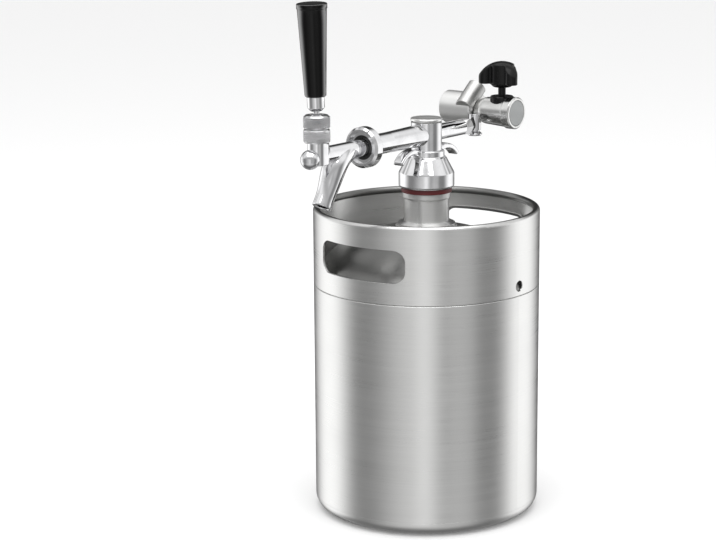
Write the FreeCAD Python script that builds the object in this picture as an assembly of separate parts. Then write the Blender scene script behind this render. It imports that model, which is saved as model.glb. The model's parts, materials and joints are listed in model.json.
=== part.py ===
import FreeCAD
import Part
import math
import os

# Mini keg with a screw-on tap head and a gas regulator. Millimetres, +Z up.
# The origin is the centre of the keg's underside. The tap points to -Y, the regulator to +Y.

V = FreeCAD.Vector
X_AXIS = V(1, 0, 0)
Y_AXIS = V(0, 1, 0)
Z_AXIS = V(0, 0, 1)

# Clearances
RUN_GAP = 0.3
SEAL_GAP = 0.1
FIT_GAP = 0.06

# Keg shell
KEG_RADIUS = 82.0
SHEET = 1.0
SEAM_HEIGHT = 168.0
SEAM_CHAMFER = 0.4
CORNER_RADIUS = 10.0
STAND_RING_WIDTH = 6.0
FLOOR_RISE = 5.0
DOME_RISE = 42.0

# Carrying ring above the seam
SKIRT_HEIGHT = 56.0
RIM_BEAD_RADIUS = 2.6
HAND_HOLE_WIDTH = 73.4
HAND_HOLE_HEIGHT = 23.5
HAND_HOLE_CENTRE = 27.3
HAND_HOLE_CORNER = 8.5
HEM_WIDTH = 1.8
HEM_DEPTH = 1.2
DRAIN_RADIUS = 4.0
DRAIN_HEIGHT = 7.3

# Neck of the keg
NECK_RADIUS = 16.4
NECK_BORE = 14.4
NECK_FLANGE_RADIUS = 20.8
NECK_FLANGE_HEIGHT = 4.4
NECK_TUBE_HEIGHT = 20.6
NECK_BEAD_RADIUS = 17.5
NECK_BEAD_HEIGHT = 4.9
NECK_THREAD_RADIUS = 15.8
NECK_THREAD_LENGTH = 12.4
GASKET_RADIUS = 18.2
GASKET_HEIGHT = 3.2

# Tap post
POST_RADIUS = 11.1
POST_HEIGHT = 36.9
POST_FLANGE_RADIUS = 15.2
POST_FLANGE_HEIGHT = 2.6
POST_SEAL_HEIGHT = 0.9
GAS_CHAMBER_RADIUS = 8.2
GAS_CHAMBER_HEIGHT = 14.0
GAS_DRILL_RADIUS = 1.5
GAS_DRILL_OFFSET = 7.2
CAP_RADIUS = 11.5
CAP_HEIGHT = 3.0
CAP_GROOVE = 1.0
CAP_GROOVE_DEPTH = 1.1
CAP_PLUG_RADIUS = 5.6
CAP_PLUG_LENGTH = 3.6
DIP_RADIUS = 4.0
DIP_WALL = 0.8
DIP_FLOOR_GAP = 7.0

# Wing nut
NUT_RADIUS = 20.1
NUT_SKIRT_HEIGHT = 10.4
NUT_CONE_HEIGHT = 11.3
NUT_TOP_RADIUS = 14.2
NUT_HUB_RADIUS = 12.9
NUT_HUB_HEIGHT = 5.2
NUT_EDGE = 0.8
EAR_REACH = 34.0
EAR_WIDTH = 8.0
EAR_THICKNESS = 4.0
EAR_DROP = 7.0
EAR_UNDER_SHANK = 0.8

# Shank, flange and coupling nut
SHANK_HEIGHT = 27.9
SHANK_ROOT_RADIUS = 8.15
SHANK_RADIUS = 7.25
SHANK_TAPER_LENGTH = 34.0
SHANK_LENGTH = 52.9
SHANK_BORE = 4.5
FLANGE_RADIUS = 10.6
FLANGE_THICKNESS = 3.0
FLANGE_ROUND = 0.8
SPIGOT_RADIUS = 8.2
SPIGOT_LENGTH = 3.5
WASHER_THICKNESS = 0.8
COUPLING_RADIUS = 14.35
COUPLING_LENGTH = 8.6
COUPLING_RECESS_RADIUS = 11.0
COUPLING_RECESS_DEPTH = 2.2
COUPLING_EDGE = 1.6

# Faucet
TAIL_RADIUS = 6.0
TAIL_COLLAR_RADIUS = 8.0
TAIL_COLLAR_LENGTH = 1.4
BARREL_OFFSET = 122.5
BARREL_RADIUS = 6.4
BARREL_BORE = 5.7
BARREL_HEIGHT = 21.7
BARREL_FAIRING = 3.0
BARREL_FAIRING_HEIGHT = 9.2
BARREL_FOOT = 5.5
NOSE_RADIUS = 6.7
NOSE_OFFSET = 7.2
SEAT_DISTANCE = 5.7
SEAT_RADIUS = 3.2
SEAT_THICKNESS = 2.5
CHAMBER_LENGTH = 17.0
PLUNGER_RADIUS = 3.0
PLUNGER_ROD_RADIUS = 1.8
PLUNGER_FRONT = 7.0
PLUNGER_GUIDE = 21.5
PLUNGER_HEAD = 1.4
SEAT_WASHER_RADIUS = 4.0
SEAT_WASHER_LENGTH = 3.6

# Spout: offsets are from the keg's axis, drops are from the shank's axis
SPOUT_LEAN = 29.0
SPOUT_MOUTH_OFFSET = 118.0
SPOUT_MOUTH_DROP = 35.4
SPOUT_MOUTH_RADIUS = 7.0
SPOUT_WAIST = 7.0
SPOUT_WAIST_RADIUS = 6.7
SPOUT_STRAIGHT = 15.5
SPOUT_KNEE_RADIUS = 7.3
SPOUT_THROAT_OFFSET = 105.4
SPOUT_THROAT_DROP = 11.6
SPOUT_THROAT_RADIUS = 8.3
SPOUT_BELLY_OFFSET = 94.0
SPOUT_BELLY_DROP = 2.2
SPOUT_BELLY_RADIUS = 7.2
SPOUT_ROOT_RADIUS = 6.1
SPOUT_BORE = 4.8
SPOUT_BORE_LENGTH = 12.0
SPOUT_WAY = 3.5

# Lever and handle, measured along the lever's own axis from its ball
PIVOT_HEIGHT = 24.0
LEVER_LEAN = 2.8
LEVER_TRAVEL = 22.0
STEM_REST_ANGLE = 5.5
BALL_RADIUS = 6.0
STUD_RADIUS = 2.2
STUD_LENGTH = 38.0
STEM_RADIUS = 1.3
TIP_RADIUS = 2.0
BONNET_RADIUS = 8.9
BONNET_BASE_HEIGHT = 9.1
BONNET_START = 10.0
BONNET_SPLIT = 0.4
BONNET_CAP_HEIGHT = 9.1
BONNET_MOUTH = 5.3
BONNET_EDGE = 0.6
FERRULE_START = 7.5
FERRULE_LENGTH = 9.7
FERRULE_RADIUS = 5.9
FERRULE_FOOT_RADIUS = 3.8
FERRULE_FOOT = 2.2
HANDLE_LENGTH = 62.8
HANDLE_FOOT_RADIUS = 7.35
HANDLE_TOP_RADIUS = 10.0
HANDLE_BAND = 3.6
HANDLE_BAND_STEP = 0.4
HANDLE_ROUND = 0.9

# Gas inlet
INLET_RADIUS = 5.8
INLET_LENGTH = 35.9
INLET_BORE = 1.6
INLET_THREAD_RADIUS = 4.0
INLET_THREAD_LENGTH = 5.0
GAS_NUT_FLATS = 10.8
GAS_NUT_LENGTH = 7.6
NIPPLE_RADIUS = 2.8
NIPPLE_COLLAR_RADIUS = 3.6
NIPPLE_COLLAR_LENGTH = 1.2
GAS_RING_RADIUS = 4.6
GAS_RING_LENGTH = 3.4

# Regulator
REG_OFFSET = 68.0
REG_HEIGHT = 37.7
REG_RADIUS = 12.2
REG_LEFT = 27.5
REG_RIGHT = 3.5
BODY_CAP_THICKNESS = 2.5
BODY_CAP_RADIUS = 10.5
ELBOW_RADIUS = 4.4
ELBOW_BACK = 8.5
ELBOW_DROP = 4.2
ELBOW_TOP = 2.0
ELBOW_WAY = 3.0
OUTLET_SHARE = 0.35
HOUSING_RADIUS = 7.2
HOUSING_BELL_RADIUS = 9.9
HOUSING_BELL_LENGTH = 7.0
HOUSING_BELL_ROUND = 12.0
HOUSING_END_RADIUS = 10.9
HOUSING_LENGTH = 26.6
HOUSING_RIM_RADIUS = 11.8
HOUSING_RIM_LENGTH = 7.5
HOUSING_RIM_EDGE = 0.9
GAS_WAY_RADIUS = 1.5
HOUSING_SEAL_RADIUS = 6.9
HOUSING_SEAL_LENGTH = 1.0
PLUG_RADIUS = 9.6
PLUG_LENGTH = 3.0
PLUG_EDGE = 0.5
SOCKET_OFFSET = 5.5
SOCKET_FRONT = 10.2
SOCKET_RISE = 2.0
SOCKET_ROUND = 0.8
SOCKET_TILT = 39.3
SOCKET_RADIUS = 7.0
SOCKET_REACH = 21.5
SOCKET_CLEARANCE = 0.6
SOCKET_THREAD_RADIUS = 4.77
SOCKET_THREAD_LENGTH = 9.5
SOCKET_MOUTH_RADIUS = 5.4
SOCKET_MOUTH_DEPTH = 2.0
PIN_RADIUS = 1.2
PIN_BORE = 0.5
PIN_REACH = 3.8
PIN_BASE_RADIUS = 3.0
PIN_BASE_LENGTH = 3.0
PIN_CHAMBER_RADIUS = 4.2
PIN_CHAMBER_LENGTH = 4.2
PIN_POCKET_RADIUS = 2.2
PIN_POCKET_LENGTH = 2.0
SOCKET_SEAL_THICKNESS = 1.5

# Adjusting knob and what it presses on
KNOB_OFFSET = 18.2
WELL_RADIUS = 5.2
WELL_DEPTH = 15.6
PISTON_HEIGHT = 2.4
SPRING_WIRE = 0.8
SPRING_RADIUS = 4.0
SPRING_TURNS = 3.0
SPRING_STEPS = 12
SPRING_HEIGHT = 6.2
BUTTON_HEIGHT = 1.6
COLLAR_RADIUS = 8.6
COLLAR_HEIGHT = 4.5
COLLAR_SEAT = 7.4
COLLAR_EDGE = 0.6
SCREW_RADIUS = 2.8
SCREW_LENGTH = 17.0
KNOB_GAP = 6.5
KNOB_HEIGHT = 19.0
KNOB_RADIUS = 17.2
KNOB_WAIST = 9.0
KNOB_LOBE_RADIUS = 4.6
KNOB_LOBES = 3
KNOB_LOBE_TURN = 217.0
KNOB_FOOT = 2.6
KNOB_FOOT_RADIUS = 6.4
KNOB_DOME = 19.5

# Relief valve under the elbow
RELIEF_STEM_RADIUS = 1.3
RELIEF_STEM_LENGTH = 5.4
RELIEF_BORE = 2.6
RELIEF_CAP_RADIUS = 5.2
RELIEF_CAP_HEIGHT = 3.0
RELIEF_NECK_RADIUS = 3.4
RELIEF_NECK_LENGTH = 1.0

# Heights and places that follow from the sizes above
INNER_RADIUS = KEG_RADIUS - SHEET
RIM_HEIGHT = SEAM_HEIGHT + SKIRT_HEIGHT
HAND_HOLE_Z = SEAM_HEIGHT + HAND_HOLE_CENTRE
NECK_BASE = SEAM_HEIGHT + DOME_RISE - SHEET
BEAD_BASE = NECK_BASE + NECK_TUBE_HEIGHT
BEAD_TOP = BEAD_BASE + NECK_BEAD_HEIGHT
NECK_TOP = BEAD_TOP + NECK_THREAD_LENGTH
NUT_BASE = BEAD_TOP + GASKET_HEIGHT + RUN_GAP
SEAL_BASE = NECK_TOP + SEAL_GAP
POST_BASE = SEAL_BASE + POST_SEAL_HEIGHT + SEAL_GAP
POST_TOP = POST_BASE + POST_HEIGHT
NUT_BORE = NECK_THREAD_RADIUS + RUN_GAP
NUT_SHOULDER = POST_BASE + POST_FLANGE_HEIGHT + RUN_GAP
TAP_Z = POST_BASE + SHANK_HEIGHT
FLANGE_Y = -(POST_RADIUS + SHANK_LENGTH)
SPIGOT_Y = FLANGE_Y - FLANGE_THICKNESS
SPIGOT_END = SPIGOT_Y - SPIGOT_LENGTH
TAIL_Y = SPIGOT_END - WASHER_THICKNESS
COUPLING_Y = SPIGOT_Y - RUN_GAP
SEAT_Y = TAIL_Y - SEAT_DISTANCE - TAIL_COLLAR_LENGTH
BARREL_Y = -BARREL_OFFSET
PIVOT_Z = TAP_Z + PIVOT_HEIGHT
PIVOT = V(0, BARREL_Y, PIVOT_Z)
REST_TIP_Y = BARREL_Y - PIVOT_HEIGHT * math.sin(math.radians(STEM_REST_ANGLE))
INLET_END = POST_RADIUS + INLET_LENGTH
REG_Z = POST_BASE + REG_HEIGHT
ELBOW_Y = REG_OFFSET - ELBOW_BACK
HOUSING_X = -REG_RIGHT + HOUSING_SEAL_LENGTH
HOUSING_END = HOUSING_X + HOUSING_LENGTH + HOUSING_RIM_LENGTH
PLUG_X = HOUSING_END - PLUG_LENGTH


def cylinder(radius, length, start, axis):
    return Part.makeCylinder(radius, length, start, axis)


def tube(radius, bore, length, start, axis):
    return cylinder(radius, length, start, axis).cut(cylinder(bore, length, start, axis))


def cone(start_radius, end_radius, length, start, axis):
    return Part.makeCone(start_radius, end_radius, length, start, axis)


def turned(points):
    """Solid of revolution about Z from a closed outline of (radius, height) points."""
    outline = [V(radius, 0, height) for radius, height in points]
    face = Part.Face(Part.makePolygon(outline + [outline[0]]))
    return face.revolve(V(0, 0, 0), Z_AXIS, 360)


def turned_along(points, start, axis):
    placed = turned(points)
    placed.Placement = FreeCAD.Placement(start, FreeCAD.Rotation(Z_AXIS, axis))
    return placed


def round_block(width, height, depth, corner):
    """Block with rounded corners: width on X, height on Z, depth on Y, centred."""
    core = Part.makeBox(width - 2 * corner, depth, height, V(corner - width / 2, -depth / 2, -height / 2))
    slab = Part.makeBox(width, depth, height - 2 * corner, V(-width / 2, -depth / 2, corner - height / 2))
    block = core.fuse(slab)
    for side in (-1, 1):
        for level in (-1, 1):
            x = side * (width / 2 - corner)
            z = level * (height / 2 - corner)
            block = block.fuse(cylinder(corner, depth, V(x, -depth / 2, z), Y_AXIS))
    return block.removeSplitter()


def filleted(shape, radius, chosen):
    """Rounds the edges that the chosen test picks."""
    edges = [edge for edge in shape.Edges if chosen(edge)]
    return shape.makeFillet(radius, edges)


def dome_height(radius, shell_radius, rise):
    return SEAM_HEIGHT + rise * math.sqrt(1 - (radius / shell_radius) ** 2)


def half_ellipsoid(radius, rise):
    """Solid under a half ellipse turned about Z, standing on the seam's plane."""
    ellipse = Part.Ellipse(V(0, 0, SEAM_HEIGHT), max(radius, rise), min(radius, rise))
    axis_turn = FreeCAD.Rotation(X_AXIS, 90)
    quarter = Part.ArcOfEllipse(ellipse, 0, math.pi / 2).toShape()
    quarter.rotate(V(0, 0, SEAM_HEIGHT), axis_turn.Axis, 90)
    foot = Part.makeLine(V(0, 0, SEAM_HEIGHT), V(radius, 0, SEAM_HEIGHT))
    stem = Part.makeLine(V(0, 0, SEAM_HEIGHT + rise), V(0, 0, SEAM_HEIGHT))
    face = Part.Face(Part.Wire(Part.__sortEdges__([foot, quarter, stem])))
    return face.revolve(V(0, 0, 0), Z_AXIS, 360)


# ---- keg ----

def keg_body():
    top = SEAM_HEIGHT
    return turned([
        (INNER_RADIUS, CORNER_RADIUS),
        (KEG_RADIUS, CORNER_RADIUS),
        (KEG_RADIUS, top - SEAM_CHAMFER),
        (KEG_RADIUS - SEAM_CHAMFER, top),
        (INNER_RADIUS, top),
    ])


def bottom_line(shrink):
    """Edges of the bottom's section, set in from the outer face by shrink."""
    centre = V(KEG_RADIUS - CORNER_RADIUS, 0, CORNER_RADIUS)
    bend = CORNER_RADIUS - shrink
    ring_end = KEG_RADIUS - CORNER_RADIUS - STAND_RING_WIDTH
    start = V(KEG_RADIUS - shrink, 0, CORNER_RADIUS)
    middle = centre + V(bend * math.sqrt(0.5), 0, -bend * math.sqrt(0.5))
    foot = V(centre.x, 0, shrink)
    step = V(ring_end - shrink / 2, 0, shrink)
    shoulder = V(ring_end - FLOOR_RISE - shrink / 2, 0, FLOOR_RISE + shrink)
    floor_centre = V(0, 0, FLOOR_RISE + shrink)
    return start, middle, foot, step, shoulder, floor_centre


def keg_bottom():
    start, middle, foot, step, shoulder, centre = bottom_line(0)
    start_in, middle_in, foot_in, step_in, shoulder_in, centre_in = bottom_line(SHEET)
    edges = [
        Part.Arc(start, middle, foot).toShape(),
        Part.makeLine(foot, step),
        Part.makeLine(step, shoulder),
        Part.makeLine(shoulder, centre),
        Part.makeLine(centre, centre_in),
        Part.makeLine(centre_in, shoulder_in),
        Part.makeLine(shoulder_in, step_in),
        Part.makeLine(step_in, foot_in),
        Part.Arc(foot_in, middle_in, start_in).toShape(),
        Part.makeLine(start_in, start),
    ]
    return Part.Face(Part.Wire(edges)).revolve(V(0, 0, 0), Z_AXIS, 360)


def dome_solid(inset):
    return half_ellipsoid(INNER_RADIUS - inset, DOME_RISE - inset)


def keg_dome():
    shell = dome_solid(0).cut(dome_solid(SHEET))
    hole = cylinder(NECK_RADIUS, DOME_RISE * 2, V(0, 0, SEAM_HEIGHT), Z_AXIS)
    return shell.cut(hole)


def keg_neck():
    foot_z = dome_height(NECK_FLANGE_RADIUS, INNER_RADIUS, DOME_RISE) - 1
    top_z = NECK_BASE + NECK_FLANGE_HEIGHT
    flange = turned([
        (NECK_BORE, foot_z),
        (NECK_FLANGE_RADIUS, foot_z),
        (NECK_FLANGE_RADIUS, top_z - 1.6),
        (NECK_RADIUS + 0.8, top_z),
        (NECK_BORE, top_z),
    ])
    flange = flange.cut(dome_solid(0))
    bead_middle = BEAD_BASE + NECK_BEAD_HEIGHT / 2
    bead_land = NECK_BEAD_HEIGHT / 4
    spigot = turned([
        (NECK_BORE, NECK_BASE - 4),
        (NECK_RADIUS, NECK_BASE - 4),
        (NECK_RADIUS, BEAD_BASE),
        (NECK_BEAD_RADIUS, bead_middle - bead_land),
        (NECK_BEAD_RADIUS, BEAD_TOP),
        (NECK_THREAD_RADIUS, BEAD_TOP),
        (NECK_THREAD_RADIUS, NECK_TOP),
        (NECK_BORE, NECK_TOP),
    ])
    return spigot.fuse(flange).removeSplitter()


def neck_gasket():
    return tube(GASKET_RADIUS, NECK_THREAD_RADIUS, GASKET_HEIGHT, V(0, 0, BEAD_TOP), Z_AXIS)


def skirt_shell():
    centre_r = KEG_RADIUS - RIM_BEAD_RADIUS
    centre_z = RIM_HEIGHT - RIM_BEAD_RADIUS
    base_z = SEAM_HEIGHT + SEAM_CHAMFER / 2

    def bead(angle):
        turn = math.radians(angle)
        return V(centre_r + RIM_BEAD_RADIUS * math.cos(turn), 0, centre_z + RIM_BEAD_RADIUS * math.sin(turn))

    meeting = -math.degrees(math.acos((INNER_RADIUS - centre_r) / RIM_BEAD_RADIUS))
    corners = [
        V(INNER_RADIUS, 0, base_z),
        V(KEG_RADIUS - SEAM_CHAMFER, 0, base_z),
        V(KEG_RADIUS, 0, base_z + SEAM_CHAMFER),
        bead(0),
    ]
    edges = [Part.makeLine(corners[i], corners[i + 1]) for i in range(3)]
    edges.append(Part.Arc(bead(0), bead(90), bead(180)).toShape())
    edges.append(Part.Arc(bead(180), bead((180 + 360 + meeting) / 2), bead(meeting)).toShape())
    edges.append(Part.makeLine(bead(meeting), corners[0]))
    return Part.Face(Part.Wire(edges)).revolve(V(0, 0, 0), Z_AXIS, 360)


def keg_skirt():
    shell = skirt_shell()
    reach = 4 * KEG_RADIUS
    outer = round_block(HAND_HOLE_WIDTH + 2 * HEM_WIDTH, HAND_HOLE_HEIGHT + 2 * HEM_WIDTH,
                        reach, HAND_HOLE_CORNER + HEM_WIDTH)
    window = round_block(HAND_HOLE_WIDTH, HAND_HOLE_HEIGHT, reach, HAND_HOLE_CORNER)
    for block in (outer, window):
        block.translate(V(0, 0, HAND_HOLE_Z))
    low = HAND_HOLE_Z - HAND_HOLE_HEIGHT
    hem = tube(INNER_RADIUS, INNER_RADIUS - HEM_DEPTH, 2 * HAND_HOLE_HEIGHT, V(0, 0, low), Z_AXIS)
    shell = shell.fuse(hem.common(outer)).cut(window)
    drain_z = SEAM_HEIGHT + DRAIN_HEIGHT
    drain = cylinder(DRAIN_RADIUS, reach, V(-reach / 2, 0, drain_z), X_AXIS)
    return shell.cut(drain).removeSplitter()


# ---- tap head ----

def post_seal():
    return tube(POST_FLANGE_RADIUS, NECK_BORE - 2, POST_SEAL_HEIGHT, V(0, 0, SEAL_BASE), Z_AXIS)


def tap_post():
    flange = cylinder(POST_FLANGE_RADIUS, POST_FLANGE_HEIGHT, V(0, 0, POST_BASE), Z_AXIS)
    post = cylinder(POST_RADIUS, POST_HEIGHT, V(0, 0, POST_BASE), Z_AXIS).fuse(flange)
    chamber_top = POST_BASE + GAS_CHAMBER_HEIGHT
    post = post.cut(cylinder(GAS_CHAMBER_RADIUS, GAS_CHAMBER_HEIGHT, V(0, 0, POST_BASE), Z_AXIS))
    post = post.cut(cylinder(DIP_RADIUS, TAP_Z - chamber_top, V(0, 0, chamber_top), Z_AXIS))
    post = post.cut(cylinder(SHANK_BORE, 2 * POST_RADIUS, V(0, 0, TAP_Z), -Y_AXIS))
    gas_way = V(0, GAS_DRILL_OFFSET - GAS_DRILL_RADIUS, TAP_Z)
    post = post.cut(cylinder(INLET_BORE, POST_RADIUS, gas_way, Y_AXIS))
    drill_base = V(0, GAS_DRILL_OFFSET, chamber_top - GAS_DRILL_RADIUS)
    post = post.cut(cylinder(GAS_DRILL_RADIUS, TAP_Z - drill_base.z, drill_base, Z_AXIS))
    plug_way = V(0, 0, POST_TOP - CAP_PLUG_LENGTH)
    post = post.cut(cylinder(CAP_PLUG_RADIUS, CAP_PLUG_LENGTH, plug_way, Z_AXIS))
    return post.removeSplitter()


def post_cap_seal():
    inner = POST_RADIUS - CAP_GROOVE_DEPTH - 3
    return tube(POST_RADIUS - CAP_GROOVE_DEPTH, inner, CAP_GROOVE, V(0, 0, POST_TOP), Z_AXIS)


def post_cap():
    base = POST_TOP + CAP_GROOVE
    top = base + CAP_HEIGHT - CAP_GROOVE
    inner = POST_RADIUS - CAP_GROOVE_DEPTH - 3
    cap = turned([
        (0, POST_TOP - CAP_PLUG_LENGTH),
        (CAP_PLUG_RADIUS, POST_TOP - CAP_PLUG_LENGTH),
        (CAP_PLUG_RADIUS, POST_TOP),
        (inner, POST_TOP),
        (inner, base),
        (CAP_RADIUS - 0.3, base),
        (CAP_RADIUS, base + 0.3),
        (CAP_RADIUS, top - 0.5),
        (CAP_RADIUS - 0.5, top),
        (0, top),
    ])
    return cap


def dip_tube():
    base = FLOOR_RISE + SHEET + DIP_FLOOR_GAP
    top = TAP_Z - SHANK_BORE
    pipe = tube(DIP_RADIUS, DIP_RADIUS - DIP_WALL, top - base, V(0, 0, base), Z_AXIS)
    return pipe


def wing_nut():
    cone_base = NUT_BASE + NUT_SKIRT_HEIGHT
    cone_top = cone_base + NUT_CONE_HEIGHT
    hub_top = cone_top + NUT_HUB_HEIGHT
    hub_bore = POST_RADIUS + RUN_GAP
    nut = turned([
        (NUT_BORE, NUT_BASE),
        (NUT_RADIUS - NUT_EDGE, NUT_BASE),
        (NUT_RADIUS, NUT_BASE + NUT_EDGE),
        (NUT_RADIUS, cone_base),
        (NUT_TOP_RADIUS, cone_top),
        (NUT_HUB_RADIUS, cone_top + 0.6),
        (NUT_HUB_RADIUS, hub_top - 0.6),
        (NUT_HUB_RADIUS - 0.6, hub_top),
        (hub_bore, hub_top),
        (hub_bore, NUT_SHOULDER),
        (NUT_BORE, NUT_SHOULDER),
    ])
    bore = cylinder(hub_bore, 2 * POST_HEIGHT, V(0, 0, NUT_SHOULDER), Z_AXIS)
    for side in (-1, 1):
        nut = nut.fuse(nut_ear(side).cut(bore))
    return nut.removeSplitter()


def nut_ear(side):
    """Curved ear that leaves the hub level and turns down at its tip."""
    crest = TAP_Z - SHANK_ROOT_RADIUS - EAR_UNDER_SHANK
    root = POST_RADIUS
    tip = EAR_REACH
    crown = root + (tip - root) * 0.5

    def at(y, z):
        return V(-EAR_WIDTH / 2, side * y, z)

    top_root = at(root, crest - 1.2)
    top_tip = at(tip, crest - EAR_DROP)
    nose = at(tip - EAR_THICKNESS * 0.15, crest - EAR_DROP - EAR_THICKNESS * 0.5)
    low_tip = at(tip - EAR_THICKNESS * 0.8, crest - EAR_DROP - EAR_THICKNESS * 0.55)
    low_root = at(root, crest - 1.2 - EAR_THICKNESS * 1.4)
    edges = [
        Part.Arc(top_root, at(crown, crest), top_tip).toShape(),
        Part.Arc(top_tip, nose, low_tip).toShape(),
        Part.Arc(low_tip, at(crown, crest - EAR_THICKNESS), low_root).toShape(),
        Part.makeLine(low_root, top_root),
    ]
    ear = Part.Face(Part.Wire(edges)).extrude(V(EAR_WIDTH, 0, 0))
    return filleted(ear, 1.2, lambda edge: len(edge.Vertexes) == 2 and is_long_curve(edge))


def is_long_curve(edge):
    start, end = edge.Vertexes
    flat = abs(start.Point.x - end.Point.x) < 0.01
    return flat and edge.Length > EAR_REACH / 2


def shank():
    start = V(0, 0, TAP_Z)
    taper_start = V(0, -POST_RADIUS / 2, TAP_Z)
    taper = cone(SHANK_ROOT_RADIUS, SHANK_RADIUS, SHANK_TAPER_LENGTH + POST_RADIUS / 2, taper_start, -Y_AXIS)
    bar = cylinder(SHANK_RADIUS, POST_RADIUS + SHANK_LENGTH, start, -Y_AXIS)
    bar = bar.fuse(taper)
    bar = bar.cut(cylinder(SHANK_BORE, 2 * (POST_RADIUS + SHANK_LENGTH), start, -Y_AXIS))
    post_way = cylinder(POST_RADIUS, 2 * POST_HEIGHT, V(0, 0, POST_BASE), Z_AXIS)
    return bar.cut(post_way).removeSplitter()


def shank_flange():
    disc = cylinder(FLANGE_RADIUS, FLANGE_THICKNESS, V(0, FLANGE_Y, TAP_Z), -Y_AXIS)
    disc = disc.makeFillet(FLANGE_ROUND, [edge for edge in disc.Edges if len(edge.Vertexes) == 1])
    spigot = cylinder(SPIGOT_RADIUS, SPIGOT_LENGTH + 1, V(0, SPIGOT_Y + 1, TAP_Z), -Y_AXIS)
    bore = cylinder(SHANK_BORE, 2 * SHANK_LENGTH, V(0, 0, TAP_Z), -Y_AXIS)
    return disc.fuse(spigot).cut(bore).removeSplitter()


def coupling_seal():
    return tube(TAIL_COLLAR_RADIUS, SHANK_BORE, WASHER_THICKNESS, V(0, SPIGOT_END, TAP_Z), -Y_AXIS)


def coupling_nut():
    thread = SPIGOT_RADIUS + RUN_GAP
    lip = TAIL_RADIUS + RUN_GAP
    collar_end = COUPLING_Y - (TAIL_Y - TAIL_COLLAR_LENGTH) + RUN_GAP
    recess = COUPLING_LENGTH - COUPLING_RECESS_DEPTH
    return turned_along([
        (thread, 0),
        (COUPLING_RADIUS - COUPLING_EDGE, 0),
        (COUPLING_RADIUS, COUPLING_EDGE),
        (COUPLING_RADIUS, COUPLING_LENGTH - COUPLING_EDGE),
        (COUPLING_RADIUS - COUPLING_EDGE, COUPLING_LENGTH),
        (COUPLING_RECESS_RADIUS, COUPLING_LENGTH),
        (COUPLING_RECESS_RADIUS, recess),
        (lip, recess),
        (lip, collar_end),
        (thread, collar_end),
    ], V(0, COUPLING_Y, TAP_Z), -Y_AXIS)


# ---- faucet ----

def spout_lean():
    lean = math.radians(SPOUT_LEAN)
    return V(0, math.sin(lean), math.cos(lean))


def spout_mouth():
    return V(0, -SPOUT_MOUTH_OFFSET, TAP_Z - SPOUT_MOUTH_DROP)


def spout_solid():
    """Lofted through circles that stand square on the spout's centre line."""
    stops = [
        (V(0, TAIL_Y - SEAT_DISTANCE, TAP_Z), SPOUT_ROOT_RADIUS),
        (V(0, -SPOUT_BELLY_OFFSET, TAP_Z - SPOUT_BELLY_DROP), SPOUT_BELLY_RADIUS),
        (V(0, -SPOUT_THROAT_OFFSET, TAP_Z - SPOUT_THROAT_DROP), SPOUT_THROAT_RADIUS),
        (spout_mouth() + spout_lean() * SPOUT_STRAIGHT, SPOUT_KNEE_RADIUS),
        (spout_mouth() + spout_lean() * SPOUT_WAIST, SPOUT_WAIST_RADIUS),
        (spout_mouth(), SPOUT_MOUTH_RADIUS),
    ]
    line = Part.BSplineCurve()
    line.interpolate(Points=[place for place, radius in stops],
                     InitialTangent=-Y_AXIS, FinalTangent=-spout_lean())
    sections = []
    for place, radius in stops:
        direction = line.tangent(line.parameter(place))[0]
        sections.append(Part.Wire(Part.makeCircle(radius, place, direction)))
    return Part.makeLoft(sections, True, False)


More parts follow.
